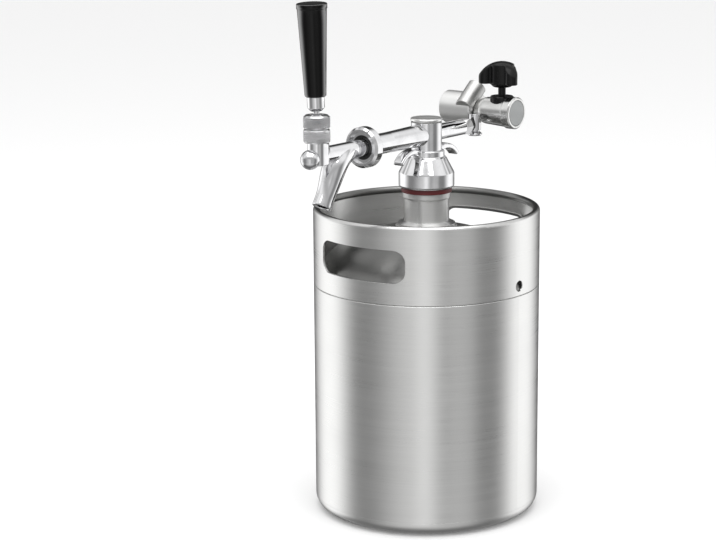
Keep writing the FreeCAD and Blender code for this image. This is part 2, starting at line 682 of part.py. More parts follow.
def faucet_body():
    tail = cylinder(TAIL_RADIUS, TAIL_Y - BARREL_Y, V(0, TAIL_Y, TAP_Z), -Y_AXIS)
    collar = cylinder(TAIL_COLLAR_RADIUS, TAIL_COLLAR_LENGTH, V(0, TAIL_Y, TAP_Z), -Y_AXIS)
    barrel_base = V(0, BARREL_Y, TAP_Z - BARREL_FOOT)
    barrel = cylinder(BARREL_RADIUS, BARREL_FOOT + BARREL_HEIGHT, barrel_base, Z_AXIS)
    fairing_height = BARREL_FOOT + BARREL_FAIRING_HEIGHT
    fairing = cylinder(BARREL_RADIUS, fairing_height, barrel_base + V(0, BARREL_FAIRING, 0), Z_AXIS)
    filler = Part.makeBox(2 * BARREL_RADIUS, BARREL_FAIRING, fairing_height,
                          barrel_base + V(-BARREL_RADIUS, 0, 0))
    body = tail.fuse([collar, spout_solid(), barrel, fairing, filler])
    # beer way: tail bore, seat, chamber, two slanted links, then the spout's straight bore
    chamber_y = SEAT_Y - SEAT_THICKNESS
    chamber_end = chamber_y - CHAMBER_LENGTH
    body = body.cut(cylinder(SHANK_BORE, TAIL_Y - SEAT_Y, V(0, TAIL_Y, TAP_Z), -Y_AXIS))
    body = body.cut(cylinder(SEAT_RADIUS, SEAT_THICKNESS + 1, V(0, SEAT_Y + 0.5, TAP_Z), -Y_AXIS))
    body = body.cut(cylinder(SHANK_BORE, CHAMBER_LENGTH, V(0, chamber_y, TAP_Z), -Y_AXIS))
    body = body.cut(cylinder(SPOUT_BORE, SPOUT_BORE_LENGTH + 1, spout_mouth() - spout_lean(), spout_lean()))
    bore_end = spout_mouth() + spout_lean() * (SPOUT_BORE_LENGTH - SPOUT_WAY)
    throat = V(0, -SPOUT_THROAT_OFFSET, TAP_Z - SPOUT_THROAT_DROP)
    chamber = V(0, chamber_end + SPOUT_WAY, TAP_Z)
    for start, end in ((bore_end, throat), (throat, chamber)):
        body = body.cut(cylinder(SPOUT_WAY, (end - start).Length, start, end - start))
    body = body.cut(Part.makeSphere(SPOUT_WAY, throat))
    # shaft guide, stem pocket and barrel bore
    guide = PLUNGER_RADIUS + FIT_GAP
    body = body.cut(cylinder(guide, -2 * BARREL_Y, V(0, chamber_y - 1, TAP_Z), -Y_AXIS))
    bore_base = TAP_Z + BARREL_FAIRING_HEIGHT
    bore_top = TAP_Z + BARREL_HEIGHT
    body = body.cut(cylinder(BARREL_BORE, bore_top - bore_base + 1, V(0, BARREL_Y, bore_base), Z_AXIS))
    pocket_half = TIP_RADIUS + RUN_GAP
    pocket = Part.makeBox(2 * pocket_half, BARREL_BORE + stem_reach(), fairing_height - 2,
                          V(-pocket_half, BARREL_Y - BARREL_BORE, TAP_Z - BARREL_FOOT + 2))
    return body.cut(pocket).removeSplitter()


def stem_reach():
    """How far behind the barrel's axis the tilted stem reaches."""
    full = math.radians(LEVER_TRAVEL - STEM_REST_ANGLE)
    return PIVOT_HEIGHT * math.sin(full) + TIP_RADIUS + RUN_GAP * 3


def faucet_nose():
    ball = Part.makeSphere(NOSE_RADIUS, V(0, BARREL_Y - NOSE_OFFSET, TAP_Z - 1))
    barrel = cylinder(BARREL_RADIUS, 4 * NOSE_RADIUS, V(0, BARREL_Y, TAP_Z - 2 * NOSE_RADIUS), Z_AXIS)
    behind = Part.makeBox(4 * NOSE_RADIUS, 4 * NOSE_RADIUS, 4 * NOSE_RADIUS,
                          V(-2 * NOSE_RADIUS, BARREL_Y, TAP_Z - 2 * NOSE_RADIUS))
    guide = cylinder(PLUNGER_RADIUS + FIT_GAP, PLUNGER_FRONT + RUN_GAP, V(0, REST_TIP_Y, TAP_Z), -Y_AXIS)
    return ball.cut(barrel).cut(behind).cut(guide)


def faucet_plunger():
    front_y = REST_TIP_Y - PLUNGER_FRONT
    rear_y = front_y + PLUNGER_GUIDE
    guide = cylinder(PLUNGER_RADIUS, PLUNGER_GUIDE, V(0, front_y, TAP_Z), Y_AXIS)
    head_y = SEAT_Y + SEAL_GAP + SEAT_WASHER_LENGTH
    rod = cylinder(PLUNGER_ROD_RADIUS, head_y - rear_y + 1, V(0, rear_y - 1, TAP_Z), Y_AXIS)
    head = cylinder(PLUNGER_RADIUS, PLUNGER_HEAD, V(0, head_y, TAP_Z), Y_AXIS)
    half = TIP_RADIUS + RUN_GAP / 2
    slot = Part.makeBox(2 * half, 2 * half, 4 * PLUNGER_RADIUS,
                        V(-half, REST_TIP_Y - half, TAP_Z - 2 * PLUNGER_RADIUS))
    return guide.fuse([rod, head]).cut(slot).removeSplitter()


def plunger_washer():
    start = V(0, SEAT_Y + SEAL_GAP, TAP_Z)
    return tube(SEAT_WASHER_RADIUS, PLUNGER_ROD_RADIUS, SEAT_WASHER_LENGTH, start, Y_AXIS)


def bonnet_base():
    start = TAP_Z + BONNET_START
    bore = BARREL_RADIUS
    ring = turned([
        (bore, start),
        (BONNET_RADIUS - BONNET_EDGE, start),
        (BONNET_RADIUS, start + BONNET_EDGE),
        (BONNET_RADIUS, start + BONNET_BASE_HEIGHT - BONNET_EDGE),
        (BONNET_RADIUS - BONNET_EDGE, start + BONNET_BASE_HEIGHT),
        (bore, start + BONNET_BASE_HEIGHT),
    ])
    ring.translate(V(0, BARREL_Y, 0))
    return ring


def bonnet_cap():
    base = TAP_Z + BONNET_START + BONNET_BASE_HEIGHT + BONNET_SPLIT
    top = base + BONNET_CAP_HEIGHT
    seat = BALL_RADIUS + RUN_GAP
    mouth_z = PIVOT_Z + math.sqrt(seat ** 2 - BONNET_MOUTH ** 2)
    bore = BARREL_RADIUS
    spigot_top = TAP_Z + BARREL_HEIGHT
    ring = turned([
        (bore, base),
        (BONNET_RADIUS - BONNET_EDGE, base),
        (BONNET_RADIUS, base + BONNET_EDGE),
        (BONNET_RADIUS, top - 2 * BONNET_EDGE),
        (BONNET_RADIUS - 2 * BONNET_EDGE, top),
        (BONNET_MOUTH, top),
        (BONNET_MOUTH, mouth_z),
        (bore, spigot_top),
    ])
    ring.translate(V(0, BARREL_Y, 0))
    return ring.cut(Part.makeSphere(seat, PIVOT))


def leaned(shape):
    shape.rotate(PIVOT, X_AXIS, LEVER_LEAN)
    return shape


def faucet_lever():
    ball = Part.makeSphere(BALL_RADIUS, PIVOT)
    stud = leaned(cylinder(STUD_RADIUS, STUD_LENGTH, PIVOT, Z_AXIS))
    stem = cylinder(STEM_RADIUS, PIVOT_HEIGHT, PIVOT, -Z_AXIS)
    stem = stem.fuse(Part.makeSphere(TIP_RADIUS, PIVOT - V(0, 0, PIVOT_HEIGHT)))
    stem.rotate(PIVOT, X_AXIS, -STEM_REST_ANGLE)
    return ball.fuse([stud, stem])


def lever_ferrule():
    base = PIVOT_Z + FERRULE_START
    top = base + FERRULE_LENGTH
    ring = turned([
        (STUD_RADIUS, base),
        (FERRULE_FOOT_RADIUS, base),
        (FERRULE_RADIUS, base + FERRULE_FOOT),
        (FERRULE_RADIUS, top),
        (STUD_RADIUS, top),
    ])
    ring.translate(V(0, BARREL_Y, 0))
    return leaned(ring)


def tap_handle():
    base = PIVOT_Z + FERRULE_START + FERRULE_LENGTH
    top = base + HANDLE_LENGTH
    band = top - HANDLE_BAND
    stud_top = PIVOT_Z + STUD_LENGTH
    wide = HANDLE_TOP_RADIUS + HANDLE_BAND_STEP
    grip = turned([
        (STUD_RADIUS, base),
        (HANDLE_FOOT_RADIUS - HANDLE_ROUND, base),
        (HANDLE_FOOT_RADIUS, base + HANDLE_ROUND),
        (HANDLE_TOP_RADIUS, band - HANDLE_BAND_STEP),
        (wide, band),
        (wide, top - HANDLE_ROUND),
        (wide - HANDLE_ROUND, top - HANDLE_ROUND / 3),
        (HANDLE_TOP_RADIUS / 2, top),
        (0, top),
        (0, stud_top),
        (STUD_RADIUS, stud_top),
    ])
    grip.translate(V(0, BARREL_Y, 0))
    return leaned(grip)


# ---- gas side ----

def gas_inlet():
    start = V(0, 0, TAP_Z)
    pipe = cylinder(INLET_RADIUS, INLET_END - INLET_THREAD_LENGTH, start, Y_AXIS)
    pipe = pipe.fuse(cylinder(INLET_THREAD_RADIUS, INLET_END, start, Y_AXIS))
    pipe = pipe.cut(cylinder(INLET_BORE, 2 * INLET_END, start, Y_AXIS))
    post_way = cylinder(POST_RADIUS, 2 * POST_HEIGHT, V(0, 0, POST_BASE), Z_AXIS)
    return pipe.cut(post_way).removeSplitter()


def gas_nut():
    start_y = INLET_END - INLET_THREAD_LENGTH + RUN_GAP
    corner = GAS_NUT_FLATS / math.sqrt(3)
    turns = [math.radians(60 * step) for step in range(7)]
    points = [V(corner * math.cos(turn), start_y, TAP_Z + corner * math.sin(turn)) for turn in turns]
    prism = Part.Face(Part.makePolygon(points)).extrude(V(0, GAS_NUT_LENGTH, 0))
    end_y = start_y + GAS_NUT_LENGTH
    rounder = turned_along([
        (0, 0),
        (GAS_NUT_FLATS / 2, 0),
        (corner, (corner - GAS_NUT_FLATS / 2) * 0.58),
        (corner, GAS_NUT_LENGTH - (corner - GAS_NUT_FLATS / 2) * 0.58),
        (GAS_NUT_FLATS / 2, GAS_NUT_LENGTH),
        (0, GAS_NUT_LENGTH),
    ], V(0, start_y, TAP_Z), Y_AXIS)
    nut = prism.common(rounder)
    collar_end = INLET_END + SEAL_GAP + NIPPLE_COLLAR_LENGTH + RUN_GAP
    nut = nut.cut(cylinder(INLET_THREAD_RADIUS + RUN_GAP, collar_end - start_y, V(0, start_y, TAP_Z), Y_AXIS))
    return nut.cut(cylinder(NIPPLE_RADIUS + RUN_GAP, end_y - start_y, V(0, start_y, TAP_Z), Y_AXIS))


def gas_ring():
    start = INLET_END - INLET_THREAD_LENGTH + GAS_NUT_LENGTH + 3 * RUN_GAP
    return tube(GAS_RING_RADIUS, NIPPLE_RADIUS, GAS_RING_LENGTH, V(0, start, TAP_Z), Y_AXIS)


def regulator_core():
    return cylinder(REG_RADIUS, REG_LEFT, V(-REG_RIGHT, REG_OFFSET, REG_Z), -X_AXIS)


def elbow_base():
    return TAP_Z - ELBOW_DROP


def outlet_elbow():
    """Level nipple and an upright column, saddled to the regulator above it."""
    start = INLET_END + SEAL_GAP
    nipple = cylinder(NIPPLE_RADIUS, ELBOW_Y - start, V(0, start, TAP_Z), Y_AXIS)
    nipple = nipple.fuse(cylinder(NIPPLE_COLLAR_RADIUS, NIPPLE_COLLAR_LENGTH, V(0, start, TAP_Z), Y_AXIS))
    column_height = REG_Z - ELBOW_TOP - elbow_base()
    column = cylinder(ELBOW_RADIUS, column_height, V(0, ELBOW_Y, elbow_base()), Z_AXIS)
    block = nipple.fuse(column)
    seal_start = V(-REG_RIGHT, REG_OFFSET, REG_Z)
    for above in (regulator_core(), housing_bell(),
                  cylinder(HOUSING_SEAL_RADIUS, HOUSING_SEAL_LENGTH, seal_start, X_AXIS)):
        block = block.cut(above)
    block = block.cut(cylinder(INLET_BORE, ELBOW_Y - start, V(0, start, TAP_Z), Y_AXIS))
    block = block.cut(cylinder(GAS_WAY_RADIUS, elbow_way().z - TAP_Z, V(0, ELBOW_Y, TAP_Z), Z_AXIS))
    block = block.cut(outlet_way())
    return block.cut(cylinder(RELIEF_BORE, ELBOW_DROP, V(0, ELBOW_Y, elbow_base()), Z_AXIS))


def elbow_way():
    """Top of the upright way in the column."""
    return V(0, ELBOW_Y, REG_Z - ELBOW_TOP - ELBOW_WAY)


def housing_way():
    """From the seal to the middle of the pocket under the piston, as a start and a direction."""
    start = V(HOUSING_X, REG_OFFSET, REG_Z)
    return start, knob_axis_point(well_base() - GAS_WAY_RADIUS) - start


def outlet_way():
    """Slanted way that joins the column to the housing's own."""
    start, way = housing_way()
    link = start + way * OUTLET_SHARE - elbow_way()
    return cylinder(GAS_WAY_RADIUS, link.Length, elbow_way(), link)


def relief_seat():
    base = elbow_base() - RELIEF_NECK_LENGTH
    neck = cylinder(RELIEF_NECK_RADIUS, RELIEF_NECK_LENGTH, V(0, ELBOW_Y, base), Z_AXIS)
    plug = cylinder(RELIEF_BORE, RELIEF_NECK_LENGTH + ELBOW_DROP / 2, V(0, ELBOW_Y, base), Z_AXIS)
    bore = cylinder(RELIEF_STEM_RADIUS + RUN_GAP, ELBOW_DROP * 2, V(0, ELBOW_Y, base), Z_AXIS)
    return neck.fuse(plug).cut(bore).removeSplitter()


def relief_cap():
    top = elbow_base() - RELIEF_NECK_LENGTH - SEAL_GAP
    cap = turned([
        (0, top - RELIEF_CAP_HEIGHT),
        (RELIEF_CAP_RADIUS - 0.5, top - RELIEF_CAP_HEIGHT),
        (RELIEF_CAP_RADIUS, top - RELIEF_CAP_HEIGHT + 0.5),
        (RELIEF_CAP_RADIUS, top - RELIEF_CAP_HEIGHT / 2),
        (RELIEF_NECK_RADIUS, top),
        (RELIEF_STEM_RADIUS, top),
        (RELIEF_STEM_RADIUS, top + RELIEF_STEM_LENGTH),
        (0, top + RELIEF_STEM_LENGTH),
    ])
    cap.translate(V(0, ELBOW_Y, 0))
    return cap


def socket_axis():
    tilt = math.radians(SOCKET_TILT)
    return V(0, math.cos(tilt), math.sin(tilt))


def socket_root():
    return V(-REG_RIGHT - SOCKET_OFFSET, REG_OFFSET - SOCKET_FRONT, REG_Z + SOCKET_RISE)


def regulator_body():
    left_end = V(-REG_RIGHT - REG_LEFT, REG_OFFSET, REG_Z)
    body = regulator_core()
    body = body.makeChamfer(0.6, [edge for edge in body.Edges if len(edge.Vertexes) == 1])
    body = body.cut(cylinder(BODY_CAP_RADIUS, BODY_CAP_THICKNESS, left_end, X_AXIS))
    body = body.cut(cylinder(INLET_BORE, REG_LEFT, left_end, X_AXIS))
    body = body.cut(cylinder(SOCKET_RADIUS, SOCKET_REACH, socket_root(), socket_axis()))
    return body.cut(socket_way())


def body_cap():
    start = -REG_RIGHT - REG_LEFT
    cap = turned_along([
        (0, -0.8),
        (BODY_CAP_RADIUS - 1.2, -0.8),
        (BODY_CAP_RADIUS, 0),
        (BODY_CAP_RADIUS, BODY_CAP_THICKNESS),
        (0, BODY_CAP_THICKNESS),
    ], V(start, REG_OFFSET, REG_Z), X_AXIS)
    return cap


def housing_seal():
    start = V(-REG_RIGHT, REG_OFFSET, REG_Z)
    return tube(HOUSING_SEAL_RADIUS, INLET_BORE, HOUSING_SEAL_LENGTH, start, X_AXIS)


def knob_axis_point(height):
    return V(KNOB_OFFSET, REG_OFFSET, height)


def well_base():
    return REG_Z + HOUSING_END_RADIUS - WELL_DEPTH


def housing_bell():
    """Widens quickly from its neck, then slowly to the rim."""
    bell = turned_along([
        (0, 0),
        (HOUSING_RADIUS, 0),
        (HOUSING_BELL_RADIUS, HOUSING_BELL_LENGTH),
        (HOUSING_END_RADIUS, HOUSING_LENGTH),
        (0, HOUSING_LENGTH),
    ], V(HOUSING_X, REG_OFFSET, REG_Z), X_AXIS)
    shoulder = HOUSING_X + HOUSING_BELL_LENGTH
    rims = [edge for edge in bell.Edges
            if len(edge.Vertexes) == 1 and abs(edge.BoundBox.Center.x - shoulder) < SHEET]
    return bell.makeFillet(HOUSING_BELL_ROUND, rims)


def regulator_housing():
    house = housing_bell()
    rim = turned_along([
        (0, 0),
        (HOUSING_END_RADIUS, 0),
        (HOUSING_RIM_RADIUS, HOUSING_RIM_EDGE),
        (HOUSING_RIM_RADIUS, HOUSING_RIM_LENGTH - HOUSING_RIM_EDGE),
        (HOUSING_RIM_RADIUS - HOUSING_RIM_EDGE, HOUSING_RIM_LENGTH),
        (0, HOUSING_RIM_LENGTH),
    ], V(HOUSING_X + HOUSING_LENGTH, REG_OFFSET, REG_Z), X_AXIS)
    house = house.fuse(rim)
    house = house.cut(cylinder(COLLAR_RADIUS, REG_RADIUS, knob_axis_point(collar_base()), Z_AXIS))
    house = house.cut(cylinder(WELL_RADIUS, WELL_DEPTH * 2, knob_axis_point(well_base()), Z_AXIS))
    house = house.cut(cylinder(PLUG_RADIUS, PLUG_LENGTH, V(PLUG_X, REG_OFFSET, REG_Z), X_AXIS))
    pocket = knob_axis_point(well_base() - 2 * GAS_WAY_RADIUS)
    house = house.cut(cylinder(WELL_RADIUS / 2, 2 * GAS_WAY_RADIUS, pocket, Z_AXIS))
    entry, way = housing_way()
    house = house.cut(cylinder(GAS_WAY_RADIUS, way.Length, entry, way))
    return house.cut(outlet_way()).removeSplitter()


def housing_plug():
    return turned_along([
        (0, 0),
        (PLUG_RADIUS, 0),
        (PLUG_RADIUS, PLUG_LENGTH - PLUG_EDGE),
        (PLUG_RADIUS - PLUG_EDGE, PLUG_LENGTH),
        (0, PLUG_LENGTH),
    ], V(PLUG_X, REG_OFFSET, REG_Z), X_AXIS)


def cartridge_socket():
    bore_start = SOCKET_REACH - SOCKET_MOUTH_DEPTH - SOCKET_THREAD_LENGTH
    chamber_start = bore_start - PIN_CHAMBER_LENGTH
    socket = cylinder(SOCKET_RADIUS, SOCKET_REACH, V(0, 0, 0), Z_AXIS)
    socket = socket.makeFillet(SOCKET_ROUND, [low_rim(socket)])
    hollow = turned([
        (0, pin_height() - PIN_POCKET_LENGTH),
        (PIN_POCKET_RADIUS, pin_height() - PIN_POCKET_LENGTH),
        (PIN_POCKET_RADIUS, pin_height()),
        (PIN_BASE_RADIUS, pin_height()),
        (PIN_BASE_RADIUS, chamber_start),
        (PIN_CHAMBER_RADIUS, chamber_start),
        (PIN_CHAMBER_RADIUS, bore_start),
        (SOCKET_THREAD_RADIUS, bore_start),
        (SOCKET_THREAD_RADIUS, SOCKET_REACH - SOCKET_MOUTH_DEPTH),
        (SOCKET_MOUTH_RADIUS, SOCKET_REACH - SOCKET_MOUTH_DEPTH),
        (SOCKET_MOUTH_RADIUS, SOCKET_REACH),
        (0, SOCKET_REACH),
    ])
    socket = socket.cut(hollow)
    socket.Placement = FreeCAD.Placement(socket_root(), FreeCAD.Rotation(Z_AXIS, socket_axis()))
    left_end = V(-REG_RIGHT - REG_LEFT, REG_OFFSET, REG_Z)
    socket = socket.cut(cylinder(INLET_BORE, REG_LEFT, left_end, X_AXIS))
    joint = V(-REG_RIGHT, REG_OFFSET, REG_Z)
    socket = socket.cut(cylinder(HOUSING_RADIUS + SOCKET_CLEARANCE, SOCKET_RADIUS, joint, X_AXIS))
    return socket.cut(socket_way())


def socket_way():
    """Drilled from the pocket behind the pin to the bore along the regulator's axis."""
    start = socket_root() + socket_axis() * (pin_height() - PIN_POCKET_LENGTH / 2)
    way = V(start.x, REG_OFFSET, REG_Z) - start
    return cylinder(GAS_WAY_RADIUS, way.Length, start, way)


def low_rim(shape):
    rims = [edge for edge in shape.Edges if len(edge.Vertexes) == 1]
    return min(rims, key=lambda edge: edge.BoundBox.ZMax)


def pin_height():
    """How far up the socket's axis the pin's base stands."""
    bore_start = SOCKET_REACH - SOCKET_MOUTH_DEPTH - SOCKET_THREAD_LENGTH
    return bore_start - PIN_CHAMBER_LENGTH - PIN_BASE_LENGTH


def pin_start():
    return socket_root() + socket_axis() * pin_height()


def piercing_pin():
    tip = PIN_BASE_LENGTH + PIN_REACH
    return turned_along([
        (PIN_BORE, 0),
        (PIN_BASE_RADIUS, 0),
        (PIN_BASE_RADIUS, PIN_BASE_LENGTH),
        (PIN_RADIUS, PIN_BASE_LENGTH),
        (PIN_RADIUS, tip - PIN_RADIUS),
        (PIN_BORE, tip),
    ], pin_start(), socket_axis())


def socket_seal():
    start = pin_start() + socket_axis() * PIN_BASE_LENGTH
    return tube(PIN_CHAMBER_RADIUS, PIN_RADIUS, SOCKET_SEAL_THICKNESS, start, socket_axis())


def pressure_piston():
    return cylinder(WELL_RADIUS - FIT_GAP, PISTON_HEIGHT, knob_axis_point(well_base()), Z_AXIS)


def spring_base():
    return well_base() + PISTON_HEIGHT


def pressure_spring():
    """Lofted through circles that stand square on the coil's line."""
    height = SPRING_HEIGHT - SPRING_WIRE
    rise = height / SPRING_TURNS / math.tau
    steps = round(SPRING_TURNS * SPRING_STEPS)
    sections = []
    for step in range(steps + 1):
        turn = math.tau * step / SPRING_STEPS
        outward = V(math.cos(turn), math.sin(turn), 0)
        along = V(-math.sin(turn) * SPRING_RADIUS, math.cos(turn) * SPRING_RADIUS, rise)
        ring = Part.Circle(outward * SPRING_RADIUS + V(0, 0, rise * turn), along, SPRING_WIRE / 2)
        ring.XAxis = outward
        sections.append(Part.Wire(ring.toShape()))
    spring = Part.makeLoft(sections, True, False)
    spring.translate(knob_axis_point(spring_base() + SPRING_WIRE / 2 + SEAL_GAP / 2))
    return spring


def button_base():
    return spring_base() + SPRING_HEIGHT + SEAL_GAP


def spring_button():
    return cylinder(WELL_RADIUS - RUN_GAP, BUTTON_HEIGHT, knob_axis_point(button_base()), Z_AXIS)


def collar_base():
    return REG_Z + COLLAR_SEAT


def knob_collar():
    ring = turned([
        (SCREW_RADIUS + RUN_GAP, 0),
        (COLLAR_RADIUS, 0),
        (COLLAR_RADIUS, COLLAR_HEIGHT - COLLAR_EDGE),
        (COLLAR_RADIUS - COLLAR_EDGE, COLLAR_HEIGHT),
        (SCREW_RADIUS + RUN_GAP, COLLAR_HEIGHT),
    ])
    ring.translate(knob_axis_point(collar_base()))
    return ring


def screw_base():
    return button_base() + BUTTON_HEIGHT + SEAL_GAP


def knob_base():
    return collar_base() + COLLAR_HEIGHT + KNOB_GAP


def adjusting_screw():
    return cylinder(SCREW_RADIUS, SCREW_LENGTH, knob_axis_point(screw_base()), Z_AXIS)


def regulator_knob():
    base = knob_base()
    knob = turned([
        (0, 0),
        (KNOB_FOOT_RADIUS, 0),
        (KNOB_WAIST, KNOB_FOOT),
        (KNOB_WAIST, KNOB_HEIGHT),
        (0, KNOB_HEIGHT),
    ])
    knob.translate(knob_axis_point(base))
    for step in range(KNOB_LOBES):
        turn = math.radians(KNOB_LOBE_TURN + 360 * step / KNOB_LOBES)
        reach = KNOB_RADIUS - KNOB_LOBE_RADIUS
        place = knob_axis_point(base + KNOB_FOOT) + V(reach * math.cos(turn), reach * math.sin(turn), 0)
        knob = knob.fuse(cylinder(KNOB_LOBE_RADIUS, KNOB_HEIGHT - KNOB_FOOT, place, Z_AXIS))
    knob = knob.common(Part.makeSphere(KNOB_DOME, knob_axis_point(base + KNOB_HEIGHT - KNOB_DOME)))
    screw_way = cylinder(SCREW_RADIUS, screw_base() + SCREW_LENGTH - base, knob_axis_point(base), Z_AXIS)
    return knob.cut(screw_way).removeSplitter()


PIECES = [
    keg_body, keg_bottom, keg_dome, keg_neck, keg_skirt, neck_gasket,
    post_seal, tap_post, post_cap, post_cap_seal, dip_tube, wing_nut,
    shank, shank_flange, coupling_nut, coupling_seal,
    faucet_body, faucet_nose, bonnet_base, bonnet_cap, faucet_lever, lever_ferrule, tap_handle,
    faucet_plunger, plunger_washer,
    gas_inlet, gas_nut, gas_ring, outlet_elbow, relief_cap, relief_seat,
    regulator_body, body_cap, housing_seal, regulator_housing, housing_plug,
    cartridge_socket, piercing_pin, socket_seal,
    knob_collar, adjusting_screw, regulator_knob, spring_button, pressure_spring, pressure_piston,
]

os.makedirs("parts", exist_ok=True)
for piece in PIECES:
    shape = piece()
    solids = len(shape.Solids)
    box = shape.BoundBox
    print(piece.__name__, "solids", solids, "valid", shape.isValid(), "volume", round(shape.Volume, 1),
          "z", round(box.ZMin, 2), round(box.ZMax, 2), "y", round(box.YMin, 2), round(box.YMax, 2),
          "x", round(box.XMin, 2), round(box.XMax, 2))
    shape.exportStep("parts/" + piece.__name__ + ".step")
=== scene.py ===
import json
import math

import bmesh
import bpy
from mathutils import Matrix, Vector


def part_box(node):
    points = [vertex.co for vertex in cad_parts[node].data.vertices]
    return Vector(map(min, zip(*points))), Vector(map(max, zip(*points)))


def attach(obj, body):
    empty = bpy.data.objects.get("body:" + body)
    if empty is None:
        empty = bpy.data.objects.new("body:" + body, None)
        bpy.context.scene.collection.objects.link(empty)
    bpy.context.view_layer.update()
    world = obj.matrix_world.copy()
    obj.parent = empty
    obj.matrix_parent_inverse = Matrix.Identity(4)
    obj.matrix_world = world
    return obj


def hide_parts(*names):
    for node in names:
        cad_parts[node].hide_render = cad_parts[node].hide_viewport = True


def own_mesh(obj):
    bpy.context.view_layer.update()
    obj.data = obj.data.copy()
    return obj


# Mini keg beer dispenser: a brushed steel keg with a chrome tap head and a gas regulator.
# Lengths are in metres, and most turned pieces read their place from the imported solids.

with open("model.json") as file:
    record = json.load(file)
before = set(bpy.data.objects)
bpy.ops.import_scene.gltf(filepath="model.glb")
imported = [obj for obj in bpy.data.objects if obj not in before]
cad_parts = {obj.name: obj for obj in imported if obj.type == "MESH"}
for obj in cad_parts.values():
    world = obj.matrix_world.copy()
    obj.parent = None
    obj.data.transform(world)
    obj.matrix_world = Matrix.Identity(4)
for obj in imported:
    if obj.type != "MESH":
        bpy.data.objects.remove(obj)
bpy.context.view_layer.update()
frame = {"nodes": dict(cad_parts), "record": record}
nodes = frame["nodes"]


# ---- shader node groups ----

def new_group(name, inputs, outputs):
    """An empty shader group with the given sockets, and its input and output nodes."""
    group = bpy.data.node_groups.new(name, "ShaderNodeTree")
    for label, kind, value in inputs:
        socket = group.interface.new_socket(label, in_out="INPUT", socket_type=kind)
        if value is not None:
            socket.default_value = value
    for label, kind in outputs:
        group.interface.new_socket(label, in_out="OUTPUT", socket_type=kind)
    return group, group.nodes.new("NodeGroupInput"), group.nodes.new("NodeGroupOutput")


def add(tree, kind, links=None, **settings):
    """One node with its settings and the sockets that feed it."""
    node = tree.nodes.new(kind)
    for name, value in settings.items():
        setattr(node, name, value)
    for key, source in (links or {}).items():
        if isinstance(source, bpy.types.NodeSocket):
            tree.links.new(source, node.inputs[key])
        else:
            node.inputs[key].default_value = source
    return node


def calc(tree, operation, a, b=0.0):
    return add(tree, "ShaderNodeMath", {0: a, 1: b}, operation=operation).outputs[0]


def reach_from_axis(tree, xyz):
    """Distance from the Z axis of a place that is given as three separate sockets."""
    squares = [calc(tree, "MULTIPLY", xyz.outputs[axis], xyz.outputs[axis]) for axis in (0, 1)]
    return calc(tree, "SQRT", calc(tree, "ADD", *squares))


def turned_lines_group():
    """Fine lines left by turning or belt brushing round the Z axis of the vector it is given."""
    group, given, made = new_group(
        "Turned Lines",
        [("Vector", "NodeSocketVector", None), ("Lines per Metre", "NodeSocketFloat", 2500.0),
         ("Reach per Metre", "NodeSocketFloat", 14.0)],
        [("Tone", "NodeSocketFloat"), ("Height", "NodeSocketFloat")],
    )
    xyz = add(group, "ShaderNodeSeparateXYZ", {0: given.outputs["Vector"]})
    across = calc(group, "SUBTRACT", xyz.outputs[2], reach_from_axis(group, xyz))
    place = add(group, "ShaderNodeCombineXYZ", {
        0: calc(group, "MULTIPLY", xyz.outputs[0], given.outputs["Reach per Metre"]),
        1: calc(group, "MULTIPLY", xyz.outputs[1], given.outputs["Reach per Metre"]),
        2: calc(group, "MULTIPLY", across, given.outputs["Lines per Metre"]),
    })
    fine = add(group, "ShaderNodeTexNoise", {"Vector": place.outputs[0], "Scale": 1.0, "Detail": 3.0,
                                             "Roughness": 0.65})
    broad_place = add(group, "ShaderNodeVectorMath", {0: place.outputs[0], 1: (0.6, 0.6, 0.12)},
                      operation="MULTIPLY")
    broad = add(group, "ShaderNodeTexNoise", {"Vector": broad_place.outputs[0], "Scale": 1.0, "Detail": 2.0})
    tone = calc(group, "ADD", calc(group, "MULTIPLY", fine.outputs[0], 0.65),
                calc(group, "MULTIPLY", broad.outputs[0], 0.35))
    group.links.new(tone, made.inputs["Tone"])
    group.links.new(fine.outputs[0], made.inputs["Height"])
    return group


def handling_group():
    """Faint smears and hairlines: how rough they leave the surface, and a mask for a slight change of tone."""
    group, given, made = new_group(
        "Handling",
        [("Vector", "NodeSocketVector", None), ("Smear Size", "NodeSocketFloat", 45.0),
         ("Least Roughness", "NodeSocketFloat", 0.05), ("Most Roughness", "NodeSocketFloat", 0.14)],
        [("Roughness", "NodeSocketFloat"), ("Mask", "NodeSocketFloat")],
    )
    smear = add(group, "ShaderNodeTexNoise", {"Vector": given.outputs["Vector"],
                                              "Scale": given.outputs["Smear Size"],
                                              "Detail": 5.0, "Roughness": 0.6, "Distortion": 0.8})
    slanted = add(group, "ShaderNodeMapping", {"Vector": given.outputs["Vector"],
                                               "Rotation": (0.5, 0.9, 0.3), "Scale": (60.0, 900.0, 60.0)})
    hairline = add(group, "ShaderNodeTexNoise", {"Vector": slanted.outputs[0], "Scale": 1.0, "Detail": 2.0})
    soft = add(group, "ShaderNodeMapRange", {0: smear.outputs[0], 1: 0.38, 2: 0.68, 3: 0.0, 4: 1.0})
    thin = add(group, "ShaderNodeMapRange", {0: hairline.outputs[0], 1: 0.66, 2: 0.74, 3: 0.0, 4: 0.6})
    mask = calc(group, "MAXIMUM", soft.outputs[0], thin.outputs[0])
    rough = add(group, "ShaderNodeMapRange", {0: mask, 1: 0.0, 2: 1.0, 3: given.outputs["Least Roughness"],
                                              4: given.outputs["Most Roughness"]})
    group.links.new(rough.outputs[0], made.inputs["Roughness"])
    group.links.new(mask, made.inputs["Mask"])
    return group


